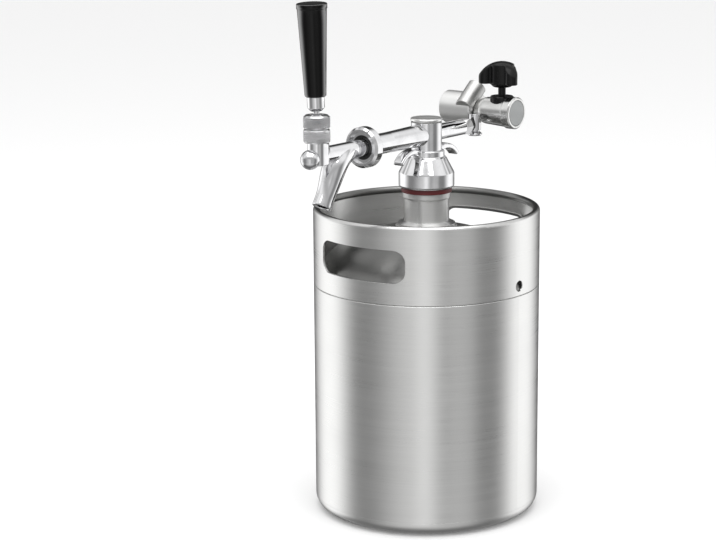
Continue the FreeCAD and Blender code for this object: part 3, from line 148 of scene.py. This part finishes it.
def grain_group():
    """Fine pebbling of moulded plastic, rubber and blasted metal."""
    group, given, made = new_group(
        "Grain",
        [("Vector", "NodeSocketVector", None), ("Grains per Metre", "NodeSocketFloat", 2500.0)],
        [("Height", "NodeSocketFloat"), ("Tone", "NodeSocketFloat")],
    )
    pebbles = add(group, "ShaderNodeTexNoise", {"Vector": given.outputs["Vector"],
                                                "Scale": given.outputs["Grains per Metre"], "Detail": 4.0})
    patches = add(group, "ShaderNodeTexNoise", {"Vector": given.outputs["Vector"], "Scale": 70.0, "Detail": 3.0})
    group.links.new(pebbles.outputs[0], made.inputs["Height"])
    group.links.new(patches.outputs[0], made.inputs["Tone"])
    return group


TURNED_LINES = turned_lines_group()
HANDLING = handling_group()
GRAIN = grain_group()


# ---- materials ----

def blank_material(name):
    """A new material with its tree, its shader and the place on the piece that every pattern reads."""
    material = bpy.data.materials.new(name)
    material.use_nodes = True
    tree = material.node_tree
    shader = tree.nodes["Principled BSDF"]
    place = tree.nodes.new("ShaderNodeTexCoord").outputs["Object"]
    return material, tree, shader, place


def fill_group(tree, group, links):
    return add(tree, "ShaderNodeGroup", links, node_tree=group)


def tint(tree, factor, first, second):
    """A colour between two, each a plain tone or another node's colour."""
    ends = [tone if isinstance(tone, bpy.types.NodeSocket) else (*tone, 1.0) for tone in (first, second)]
    return add(tree, "ShaderNodeMix", {0: factor, 6: ends[0], 7: ends[1]}, data_type="RGBA").outputs[2]


EDGE_RADIUS = 0.0004
RELIEF_DEPTH = 0.0001
WALL_BLEND = 0.0006     # depth over which the ring's outer finish turns into the painted shade of its inner wall
RECESS_BLEND = 0.0002   # width of the soft edge of the dark ring painted as shade in the coupling nut


def round_edges(tree, height=None, strength=None):
    """A normal that softens the machined edges, with an optional fine relief on top."""
    edges = add(tree, "ShaderNodeBevel", {"Radius": EDGE_RADIUS}, samples=4)
    if height is None:
        return edges.outputs[0]
    relief = add(tree, "ShaderNodeBump", {"Height": height, "Strength": strength, "Distance": RELIEF_DEPTH,
                                          "Normal": edges.outputs[0]})
    return relief.outputs[0]


def inside_mask(tree, place, radius, soft):
    """One inside the given radius round the Z axis, and nothing outside it."""
    xyz = add(tree, "ShaderNodeSeparateXYZ", {0: place})
    return add(tree, "ShaderNodeMapRange", {0: reach_from_axis(tree, xyz), 1: radius, 2: radius + soft,
                                            3: 1.0, 4: 0.0}).outputs[0]


def brushed_steel(name, dark, light, least, most, lines=2500.0, strength=0.12, stretch=0.75, inner=None):
    """Steel brushed round the Z axis, from least to most roughness; inner is a radius and the tone inside it."""
    material, tree, shader, place = blank_material(name)
    brush = fill_group(tree, TURNED_LINES, {"Vector": place, "Lines per Metre": lines})
    marks = fill_group(tree, HANDLING, {"Vector": place, "Smear Size": 22.0, "Least Roughness": 0.0,
                                        "Most Roughness": 0.05})
    rough = add(tree, "ShaderNodeMapRange", {0: brush.outputs["Tone"], 1: 0.3, 2: 0.7, 3: least, 4: most})
    tone = tint(tree, brush.outputs["Tone"], dark, light)
    if inner is not None:
        radius, shade = inner
        tone = tint(tree, inside_mask(tree, place, radius, WALL_BLEND), tone, shade)
    tree.links.new(tone, shader.inputs["Base Color"])
    tree.links.new(calc(tree, "ADD", rough.outputs[0], marks.outputs["Roughness"]), shader.inputs["Roughness"])
    tree.links.new(round_edges(tree, brush.outputs["Height"], strength), shader.inputs["Normal"])
    shader.inputs["Metallic"].default_value = 1.0
    shader.inputs["Anisotropic"].default_value = stretch
    shader.inputs["Anisotropic Rotation"].default_value = 0.25
    tree.links.new(add(tree, "ShaderNodeTangent", direction_type="RADIAL", axis="Z").outputs[0],
                   shader.inputs["Tangent"])
    return material


def polished_metal(name, dark, light, least, most, recess=None):
    """Plated metal with faint smears and hairlines.

    A recess is the height of its axis, which runs along Y, a radius and the dark tone painted inside that radius
    as shade.
    """
    material, tree, shader, place = blank_material(name)
    marks = fill_group(tree, HANDLING, {"Vector": place, "Smear Size": 45.0, "Least Roughness": least,
                                        "Most Roughness": most})
    tone = tint(tree, marks.outputs["Mask"], light, dark)
    if recess is not None:
        height, radius, shade = recess
        along = add(tree, "ShaderNodeMapping", {"Vector": place, "Location": (0.0, height, 0.0),
                                                "Rotation": (math.radians(90), 0.0, 0.0)}).outputs[0]
        tone = tint(tree, inside_mask(tree, along, radius, RECESS_BLEND), tone, shade)
    tree.links.new(tone, shader.inputs["Base Color"])
    tree.links.new(marks.outputs["Roughness"], shader.inputs["Roughness"])
    tree.links.new(round_edges(tree), shader.inputs["Normal"])
    shader.inputs["Metallic"].default_value = 1.0
    return material


def moulded(name, dark, light, least, most, grains=2500.0, strength=0.05, shine=0.5, glossy_sides=None):
    """Plastic or rubber with a fine pebbled skin; glossy_sides is where the lacquer's shine starts and is full."""
    material, tree, shader, place = blank_material(name)
    grain = fill_group(tree, GRAIN, {"Vector": place, "Grains per Metre": grains})
    marks = fill_group(tree, HANDLING, {"Vector": place, "Smear Size": 60.0, "Least Roughness": least,
                                        "Most Roughness": most})
    tree.links.new(tint(tree, grain.outputs["Tone"], dark, light), shader.inputs["Base Color"])
    tree.links.new(marks.outputs["Roughness"], shader.inputs["Roughness"])
    tree.links.new(round_edges(tree, grain.outputs["Height"], strength), shader.inputs["Normal"])
    shader.inputs["Specular IOR Level"].default_value = shine
    if glossy_sides is not None:
        turned_away = add(tree, "ShaderNodeLayerWeight", {"Blend": 0.5}).outputs["Facing"]
        lacquer = add(tree, "ShaderNodeMapRange", {0: turned_away, 1: glossy_sides[0], 2: glossy_sides[1],
                                                   3: 0.0, 4: 1.0})
        tree.links.new(lacquer.outputs[0], shader.inputs["Coat Weight"])
        shader.inputs["Coat IOR"].default_value = 2.0
        shader.inputs["Coat Roughness"].default_value = 0.10
    return material


STEEL_TONES = ((0.70, 0.70, 0.69), (0.86, 0.86, 0.85))
CHROME_TONES = ((0.72, 0.72, 0.73), (0.86, 0.86, 0.87))
RING_PAINTED_SHADE_RADIUS = 0.0802       # radius that parts the ring's inner wall, painted darker as shade, from its brushed outer one
RECESS_PAINTED_SHADE_RADIUS = 0.0085      # radius of the dark ring painted as shade on the floor of the coupling nut's recess
nut_low, nut_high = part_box("coupling_nut")
nut_axis_height = (nut_low[2] + nut_high[2]) / 2

SHELL_STEEL = brushed_steel("keg_shell_steel", *STEEL_TONES, 0.24, 0.36)
# The ring's inner wall gets a darker tone than its outer one: painted shade for the dark it faces inside the ring.
RING_STEEL = brushed_steel("carrying_ring_steel", *STEEL_TONES, 0.24, 0.36,
                           inner=(RING_PAINTED_SHADE_RADIUS, (0.25, 0.25, 0.245)))
# The dome under the ring is given a much darker steel tone: painted shade for the dark it faces under the ring.
DOME_STEEL_PAINTED_SHADE = brushed_steel("dome_steel_painted_shade", (0.18, 0.18, 0.175), (0.25, 0.25, 0.245), 0.26, 0.36)
NECK_STEEL = brushed_steel("neck_turned_steel", (0.78, 0.78, 0.77), (0.92, 0.92, 0.91), 0.36, 0.44,
                           lines=4200.0, strength=0.06, stretch=0.95)
CHROME = polished_metal("tap_chrome", *CHROME_TONES, 0.03, 0.09)
# The coupling nut's recess floor gets a dark ring round the tail: painted shade for the recess's depth.
COUPLING_CHROME = polished_metal("coupling_chrome", *CHROME_TONES, 0.03, 0.09,
                                 recess=(nut_axis_height, RECESS_PAINTED_SHADE_RADIUS, (0.07, 0.07, 0.07)))
KNURL_CHROME = polished_metal("knurled_chrome", (0.60, 0.60, 0.61), (0.80, 0.80, 0.81), 0.16, 0.26)
SATIN_NICKEL = polished_metal("regulator_nickel", (0.68, 0.68, 0.67), (0.82, 0.82, 0.81), 0.16, 0.26)
BRIGHT_SATIN = polished_metal("regulator_body_satin", (0.80, 0.80, 0.79), (0.92, 0.92, 0.91), 0.34, 0.44)
BOSS_SATIN = polished_metal("socket_boss_satin", (0.50, 0.50, 0.49), (0.58, 0.58, 0.57), 0.42, 0.52)
BLASTED_ALUMINIUM = moulded("blasted_plug", (0.36, 0.37, 0.37), (0.46, 0.47, 0.47), 0.42, 0.55, strength=0.3)
RED_SILICONE = moulded("red_gasket", (0.10, 0.012, 0.014), (0.15, 0.02, 0.022), 0.36, 0.5, grains=1800.0)
GREY_SILICONE = moulded("grey_washer", (0.42, 0.42, 0.41), (0.52, 0.52, 0.51), 0.45, 0.6)
BLACK_RUBBER = moulded("black_ring", (0.012, 0.012, 0.012), (0.022, 0.022, 0.022), 0.4, 0.55)
HANDLE_BLACK = moulded("handle_gloss_black", (0.002, 0.002, 0.002), (0.004, 0.004, 0.004), 0.10, 0.2,
                       grains=900.0, strength=0.02, shine=0.22, glossy_sides=(0.20, 0.40))
KNOB_BLACK = moulded("knob_black", (0.003, 0.003, 0.003), (0.007, 0.007, 0.007), 0.16, 0.28,
                     grains=1600.0, strength=0.05, shine=0.22)
MACHINED_STEEL = brushed_steel("machined_inner_steel", (0.5, 0.5, 0.49), (0.66, 0.66, 0.65), 0.2, 0.32,
                               lines=4000.0, strength=0.08, stretch=0.3)
BLASTED_ALUMINIUM.node_tree.nodes["Principled BSDF"].inputs["Metallic"].default_value = 0.9

FINISH = {
    "keg_steel": SHELL_STEEL, "neck_steel": NECK_STEEL, "tap_chrome": CHROME, "knurl_chrome": KNURL_CHROME,
    "regulator_nickel": SATIN_NICKEL, "plug_satin": BLASTED_ALUMINIUM, "gasket_red": RED_SILICONE,
    "seal_grey": GREY_SILICONE, "seal_black": BLACK_RUBBER, "handle_black": HANDLE_BLACK,
    "knob_black": KNOB_BLACK, "inner_steel": MACHINED_STEEL,
}

# Nodes whose finish differs from the rest of their slot.
OWN_FINISH = {
    "keg_skirt": RING_STEEL, "keg_dome": DOME_STEEL_PAINTED_SHADE, "regulator_body": BRIGHT_SATIN, "body_cap": BRIGHT_SATIN,
    "cartridge_socket": BOSS_SATIN, "post_cap": BRIGHT_SATIN, "coupling_nut": COUPLING_CHROME,
}

for entry in frame["record"]["subparts"]:
    node = nodes[entry["node"]]
    node.data.materials.clear()
    node.data.materials.append(OWN_FINISH.get(entry["node"], FINISH[entry["material_slot"]]))


# ---- pieces worked over the solids ----

BODIES = frame["record"]["behaviour"]["bodies"]


def body_of(node_name):
    """The moving body that a node belongs to."""
    return next(body for body, members in BODIES.items() if node_name in members)


def in_place_of(piece, node_name):
    """A piece that stands for a node: the node is hidden and the piece rides where the node rode."""
    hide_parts(node_name)
    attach(piece, body_of(node_name))


def settle(piece):
    """Turns a piece's modifiers into a plain smooth mesh."""
    evaluated = piece.evaluated_get(bpy.context.evaluated_depsgraph_get())
    mesh = bpy.data.meshes.new_from_object(evaluated)
    piece.modifiers.clear()
    piece.data = mesh
    mesh.polygons.foreach_set("use_smooth", [True] * len(mesh.polygons))


def new_object(name, data):
    made = bpy.data.objects.new(name, data)
    bpy.context.scene.collection.objects.link(made)
    return made


SAME_POINT = 0.000002   # corners of the solid's loose triangles closer than this are one
MELT_FACTOR = 0.5


def softened(name, node_name, voxel, passes):
    """A copy of a solid with its edges melted together, as a casting or moulding has them."""
    mesh = bpy.data.meshes.new(name)
    shape = bmesh.new()
    shape.from_mesh(nodes[node_name].data)
    bmesh.ops.remove_doubles(shape, verts=shape.verts, dist=SAME_POINT)
    shape.to_mesh(mesh)
    shape.free()
    piece = new_object(name, mesh)
    skin = piece.modifiers.new("skin", "REMESH")
    skin.mode = "VOXEL"
    skin.voxel_size = voxel
    melt = piece.modifiers.new("melt", "SMOOTH")
    melt.factor = MELT_FACTOR
    melt.iterations = passes
    settle(piece)
    piece.data.materials.clear()
    piece.data.materials.append(nodes[node_name].data.materials[0])
    in_place_of(piece, node_name)


def lathed(name, node_name, profile, segments, seat):
    """A turned piece from radius and height pairs, closed at both poles, that stands for a node."""
    shape = bmesh.new()
    rings = []
    for radius, height in profile:
        if radius == 0.0:
            rings.append([shape.verts.new((0.0, 0.0, height))])
            continue
        turns = [math.tau * step / segments for step in range(segments)]
        rings.append([shape.verts.new((radius * math.cos(turn), radius * math.sin(turn), height))
                      for turn in turns])
    for lower, upper in zip(rings, rings[1:]):
        for step in range(segments):
            corners = [lower[step % len(lower)], lower[(step + 1) % len(lower)],
                       upper[(step + 1) % len(upper)], upper[step % len(upper)]]
            shape.faces.new(list(dict.fromkeys(corners)))
    shape.transform(seat)
    bmesh.ops.recalc_face_normals(shape, faces=shape.faces)
    mesh = bpy.data.meshes.new(name)
    shape.to_mesh(mesh)
    shape.free()
    mesh.polygons.foreach_set("use_smooth", [True] * len(mesh.polygons))
    mesh.materials.append(nodes[node_name].data.materials[0])
    in_place_of(new_object(name, mesh), node_name)


def new_tree(name, inputs):
    """An empty geometry tree with the given inputs and one geometry output."""
    tree = bpy.data.node_groups.new(name, "GeometryNodeTree")
    for label, kind in inputs:
        tree.interface.new_socket(label, in_out="INPUT", socket_type=kind)
    tree.interface.new_socket("Geometry", in_out="OUTPUT", socket_type="NodeSocketGeometry")
    return tree, tree.nodes.new("NodeGroupInput").outputs, tree.nodes.new("NodeGroupOutput")


def finish_tree(tree, geometry, material, made):
    """Every tree ends in real geometry with its material."""
    real = add(tree, "GeometryNodeRealizeInstances", {"Geometry": geometry})
    dressed = add(tree, "GeometryNodeSetMaterial", {"Geometry": real.outputs[0], "Material": material})
    tree.links.new(dressed.outputs[0], made.inputs[0])


def knurl_tree():
    """Rows of small pyramids round a ring, every second row turned by half a step."""
    tree, given, made = new_tree("Diamond Knurl", [
        ("Around", "NodeSocketInt"), ("Rows", "NodeSocketInt"), ("Radius", "NodeSocketFloat"),
        ("Row Step", "NodeSocketFloat"), ("Diamond Width", "NodeSocketFloat"),
        ("Diamond Depth", "NodeSocketFloat"), ("Centre", "NodeSocketVector"), ("Finish", "NodeSocketMaterial"),
    ])
    count = calc(tree, "MULTIPLY", given["Around"], given["Rows"])
    points = add(tree, "GeometryNodeMeshLine", {"Count": count})
    index = add(tree, "GeometryNodeInputIndex").outputs[0]
    row = calc(tree, "FLOOR", calc(tree, "DIVIDE", calc(tree, "ADD", index, 0.5), given["Around"]))
    column = calc(tree, "SUBTRACT", index, calc(tree, "MULTIPLY", row, given["Around"]))
    shifted = calc(tree, "ADD", column, calc(tree, "MULTIPLY", calc(tree, "MODULO", row, 2.0), 0.5))
    turn = calc(tree, "MULTIPLY", calc(tree, "DIVIDE", shifted, given["Around"]), math.tau)
    place = add(tree, "ShaderNodeCombineXYZ", {
        0: calc(tree, "MULTIPLY", calc(tree, "COSINE", turn), given["Radius"]),
        1: calc(tree, "MULTIPLY", calc(tree, "SINE", turn), given["Radius"]),
        2: calc(tree, "MULTIPLY", row, given["Row Step"]),
    })
    moved = add(tree, "ShaderNodeVectorMath", {0: place.outputs[0], 1: given["Centre"]}, operation="ADD")
    spots = add(tree, "GeometryNodeSetPosition", {"Geometry": points.outputs[0], "Position": moved.outputs[0]})
    pyramid = add(tree, "GeometryNodeMeshCone", {"Vertices": 4, "Radius Top": 0.0,
                                                 "Radius Bottom": given["Diamond Width"],
                                                 "Depth": given["Diamond Depth"]})
    facing = add(tree, "ShaderNodeCombineXYZ", {0: 0.0, 1: math.pi / 2, 2: turn})
    rows = add(tree, "GeometryNodeInstanceOnPoints", {"Points": spots.outputs[0],
                                                      "Instance": pyramid.outputs["Mesh"],
                                                      "Rotation": facing.outputs[0]})
    finish_tree(tree, rows.outputs[0], given["Finish"], made)
    return tree


def thread_tree():
    """A ridge wound round an axis: a screw thread, or with no rise a plain bead."""
    tree, given, made = new_tree("Wound Ridge", [
        ("Turns", "NodeSocketFloat"), ("Radius", "NodeSocketFloat"), ("Length", "NodeSocketFloat"),
        ("Ridge", "NodeSocketFloat"), ("Steps", "NodeSocketInt"), ("Start", "NodeSocketVector"),
        ("Tilt", "NodeSocketVector"), ("Finish", "NodeSocketMaterial"),
    ])
    line = add(tree, "GeometryNodeCurveSpiral", {"Resolution": given["Steps"], "Rotations": given["Turns"],
                                                 "Start Radius": given["Radius"], "End Radius": given["Radius"],
                                                 "Height": given["Length"]})
    profile = add(tree, "GeometryNodeCurvePrimitiveCircle", {"Resolution": 6, "Radius": given["Ridge"]},
                  mode="RADIUS")
    ridge = add(tree, "GeometryNodeCurveToMesh", {"Curve": line.outputs[0], "Profile Curve": profile.outputs[0],
                                                  "Fill Caps": True})
    seated = add(tree, "GeometryNodeTransform", {"Geometry": ridge.outputs[0], "Translation": given["Start"],
                                                 "Rotation": given["Tilt"]})
    finish_tree(tree, seated.outputs[0], given["Finish"], made)
    return tree


def weld_tree():
    """Overlapping flat drops of weld round the foot of a tube."""
    tree, given, made = new_tree("Weld Ripple", [
        ("Drops", "NodeSocketInt"), ("Radius", "NodeSocketFloat"), ("Drop Size", "NodeSocketFloat"),
        ("Height", "NodeSocketFloat"), ("Seed", "NodeSocketInt"), ("Finish", "NodeSocketMaterial"),
    ])
    ring = add(tree, "GeometryNodeMeshCircle", {"Vertices": given["Drops"], "Radius": given["Radius"]})
    lifted = add(tree, "ShaderNodeCombineXYZ", {0: 0.0, 1: 0.0, 2: given["Height"]})
    spots = add(tree, "GeometryNodeSetPosition", {"Geometry": ring.outputs[0], "Offset": lifted.outputs[0]})
    drop = add(tree, "GeometryNodeMeshUVSphere", {"Segments": 10, "Rings": 6, "Radius": given["Drop Size"]})
    sizes = add(tree, "FunctionNodeRandomValue", {"Min": (0.9, 0.9, 0.5), "Max": (1.15, 1.15, 0.62),
                                                  "Seed": given["Seed"]}, data_type="FLOAT_VECTOR")
    drops = add(tree, "GeometryNodeInstanceOnPoints", {"Points": spots.outputs[0], "Instance": drop.outputs[0],
                                                       "Scale": sizes.outputs[0]})
    finish_tree(tree, drops.outputs[0], given["Finish"], made)
    return tree


def grown(name, tree, sizes, carrier):
    """A plain mesh made by a geometry tree, fixed to the node that carries it."""
    piece = new_object(name, bpy.data.meshes.new(name))
    grow = piece.modifiers.new("grow", "NODES")
    grow.node_group = tree
    for item in tree.interface.items_tree:
        if item.in_out == "INPUT":
            grow[item.identifier] = sizes[item.name]
    settle(piece)
    piece.data.materials.clear()
    piece.data.materials.append(sizes["Finish"])
    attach(piece, body_of(carrier))
    return piece


softened("cast_faucet_body", "faucet_body", voxel=0.00042, passes=6)
softened("cast_wing_nut", "wing_nut", voxel=0.00045, passes=5)
softened("moulded_knob", "regulator_knob", voxel=0.0005, passes=7)

BARREL_AXIS_Y = -0.1225
PIVOT_HEIGHT = 0.2999
LEVER_LEAN = math.radians(2.8)
# Radius and height over the lever's pivot, from the foot on the ferrule to the crown with its raised band.
HANDLE_PROFILE = [
    (0.0, 0.0172), (0.00600, 0.0172), (0.00665, 0.01725), (0.00712, 0.0176), (0.00735, 0.0182), (0.00741, 0.0194),
    (0.00803, 0.0330), (0.00876, 0.0490), (0.00959, 0.0670), (0.01000, 0.0760), (0.01010, 0.0762),
    (0.01040, 0.0764), (0.01040, 0.0790), (0.01034, 0.0793), (0.01015, 0.0796), (0.00950, 0.07975),
    (0.0050, 0.0800), (0.0, 0.0800),
]
lathed("gloss_handle", "tap_handle", HANDLE_PROFILE, segments=96,
       seat=Matrix.Translation((0.0, BARREL_AXIS_Y, PIVOT_HEIGHT)) @ Matrix.Rotation(LEVER_LEAN, 4, "X"))

coiled_spring = new_object("coiled_spring", nodes["pressure_spring"].data.copy())
in_place_of(coiled_spring, "pressure_spring")
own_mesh(coiled_spring)

KNURL = knurl_tree()
KNURL_START = 0.0014   # height of the first row over the ring's foot
for ring in ("bonnet_base", "bonnet_cap"):
    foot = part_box(ring)[0][2]
    band = grown(ring + "_knurl", KNURL, {
        "Around": 54, "Rows": 13, "Radius": 0.00894, "Row Step": 0.00052, "Diamond Width": 0.00056,
        "Diamond Depth": 0.00026, "Centre": (0.0, BARREL_AXIS_Y, foot + KNURL_START), "Finish": KNURL_CHROME,
    }, ring)
    band.data.polygons.foreach_set("use_smooth", [False] * len(band.data.polygons))

# The cartridge socket leans back by this angle from upright, on an axis through this root.
SOCKET_TILT = math.radians(90.0 - 39.3)
SOCKET_ROOT = Vector((-0.009, 0.0578, 0.2877))
THREAD_START = 0.0102
SOCKET_AXIS = Vector((0.0, math.sin(SOCKET_TILT), math.cos(SOCKET_TILT)))
grown("socket_thread", thread_tree(), {
    "Turns": 8.5, "Radius": 0.00475, "Length": 0.009, "Ridge": 0.0004, "Steps": 260,
    "Start": SOCKET_ROOT + SOCKET_AXIS * THREAD_START, "Tilt": (-SOCKET_TILT, 0.0, 0.0), "Finish": MACHINED_STEEL,
}, "cartridge_socket")

WELD_RISE = 0.0042
grown("neck_weld", weld_tree(), {
    "Drops": 74, "Radius": 0.0211, "Drop Size": 0.0015, "Height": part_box("keg_neck")[0][2] + WELD_RISE,
    "Seed": 3, "Finish": NECK_STEEL,
}, "keg_neck")


# ---- studio ----
# Plain light: a pale floor, one overhead soft box, and panels all round that only reflections see.

FLOOR_REACH = 9.0
FLOOR_DROP = 0.0004   # keeps the floor just clear of the stand ring


def studio_floor():
    """A wide pale floor that the steel doesn't mirror."""
    mesh = bpy.data.meshes.new("floor")
    shape = bmesh.new()
    bmesh.ops.create_grid(shape, x_segments=2, y_segments=2, size=FLOOR_REACH)
    bmesh.ops.translate(shape, verts=shape.verts, vec=(0, 0, -FLOOR_DROP))
    shape.to_mesh(mesh)
    shape.free()
    floor = new_object("floor", mesh)
    material, _, shader, _ = blank_material("pale_floor")
    shader.inputs["Base Color"].default_value = (0.93, 0.93, 0.93, 1.0)
    shader.inputs["Roughness"].default_value = 0.9
    mesh.materials.append(material)
    floor.visible_glossy = False


CAMERA_BEARING = 37.0
# Soft panels of the studio: the middle of each, how far to either side it is fully lit, how far it then
# fades out, all in degrees, and its brightness. Walls go by compass bearing from the camera's side of the
# object. The arch goes over it: 0 is the camera's side, 90 overhead, 180 behind and -90 straight down.
WALL_PANELS = {
    "pale room": (0, 140, 35, 0.20),
    "left soft box": (-118, 6, 40, 1.05),
    "right soft box": (116, 6, 38, 1.00),
    "wide front glow": (-12, 0, 52, 0.45),
    "narrow front light": (0, 0, 17, 0.30),
    "small light right of the camera": (38, 4, 18, 0.25),
}
ARCH_PANELS = {
    "strip of floor behind": (-128, 0, 14, 0.30),
    "floor under the object": (-95, 20, 25, 0.10),
    "floor in front": (-22, 18, 42, 0.75),
    "soft box overhead": (76, 10, 62, 0.90),
    "strip over the back wall": (132, 3, 13, 0.75),
}
DARK_LEVEL = 0.05   # where no panel stands
# The arch takes over from the walls between these heights of a direction, above and below.
ARCH_ABOVE = (0.12, 0.42)
ARCH_BELOW = (-0.50, -0.68)
PLAIN_LEVEL = 1.0   # what the camera and soft light see instead of the panels


def panel_light(tree, angle, panels):
    """Brightness of all the panels of one circle, at an angle in radians."""
    total = DARK_LEVEL
    for name, (middle, lit, fade, level) in panels.items():
        away = calc(tree, "ABSOLUTE", calc(tree, "SUBTRACT", angle, math.radians(middle)))
        share = add(tree, "ShaderNodeMapRange",
                    {0: away, 1: math.radians(lit), 2: math.radians(lit + fade), 3: level, 4: 0.0},
                    interpolation_type="SMOOTHSTEP", label=name).outputs[0]
        total = calc(tree, "ADD", share, total)
    return total


def studio_walls():
    """Soft light and dark panels all round, as a world that only reflections and light see."""
    world = bpy.data.worlds.new("studio")
    bpy.context.scene.world = world
    world.use_nodes = True
    tree = world.node_tree
    background = tree.nodes["Background"]
    ray = add(tree, "ShaderNodeTexCoord").outputs["Generated"]
    turned = add(tree, "ShaderNodeVectorRotate", {"Vector": ray, "Angle": -math.radians(CAMERA_BEARING)},
                 rotation_type="Z_AXIS").outputs[0]
    xyz = add(tree, "ShaderNodeSeparateXYZ", {0: turned})
    side, height = xyz.outputs[0], xyz.outputs[2]
    towards_camera = calc(tree, "MULTIPLY", xyz.outputs[1], -1.0)
    walls = panel_light(tree, calc(tree, "ARCTAN2", side, towards_camera), WALL_PANELS)
    arch = panel_light(tree, calc(tree, "ARCTAN2", height, towards_camera), ARCH_PANELS)
    above, below = (
        add(tree, "ShaderNodeMapRange", {0: height, 1: start, 2: full, 3: 0.0, 4: 1.0},
            interpolation_type="SMOOTHSTEP").outputs[0]
        for start, full in (ARCH_ABOVE, ARCH_BELOW)
    )
    level = add(tree, "ShaderNodeMix", {0: calc(tree, "MAXIMUM", above, below), 2: walls, 3: arch},
                data_type="FLOAT").outputs[0]
    path = add(tree, "ShaderNodeLightPath")
    plain = calc(tree, "MAXIMUM", path.outputs["Is Camera Ray"], path.outputs["Is Diffuse Ray"])
    strength = add(tree, "ShaderNodeMix", {0: plain, 2: level, 3: PLAIN_LEVEL}, data_type="FLOAT").outputs[0]
    tree.links.new(strength, background.inputs["Strength"])
    background.inputs["Color"].default_value = (1.0, 1.0, 1.0, 1.0)


def soft_box(name, place, target, width, power):
    """A square area light that faces a target."""
    light = bpy.data.lights.new(name, "AREA")
    light.shape = "SQUARE"
    light.size = width
    light.energy = power
    lamp = new_object(name, light)
    lamp.location = place
    lamp.rotation_euler = (Vector(target) - Vector(place)).to_track_quat("-Z", "Y").to_euler()


CAMERA_SEAT = (0.9226, -1.2243, 0.520)
CAMERA_PITCH = 77.35    # degrees up from looking straight down
CAMERA_LENS = 108.5
CAMERA_SHIFT = -0.0957


def studio_camera():
    camera = bpy.data.cameras.new("camera")
    camera.lens = CAMERA_LENS
    camera.sensor_width = 36.0
    camera.shift_x = CAMERA_SHIFT
    seat = new_object("camera", camera)
    seat.location = CAMERA_SEAT
    seat.rotation_euler = (math.radians(CAMERA_PITCH), 0.0, math.radians(CAMERA_BEARING))
    bpy.context.scene.camera = seat


studio_floor()
studio_walls()
soft_box("overhead", place=(0.2, -0.3, 1.6), target=(0, 0, 0.1), width=1.6, power=14.0)
studio_camera()
bpy.context.scene.view_settings.view_transform = "Standard"
bpy.context.scene.view_settings.look = "None"
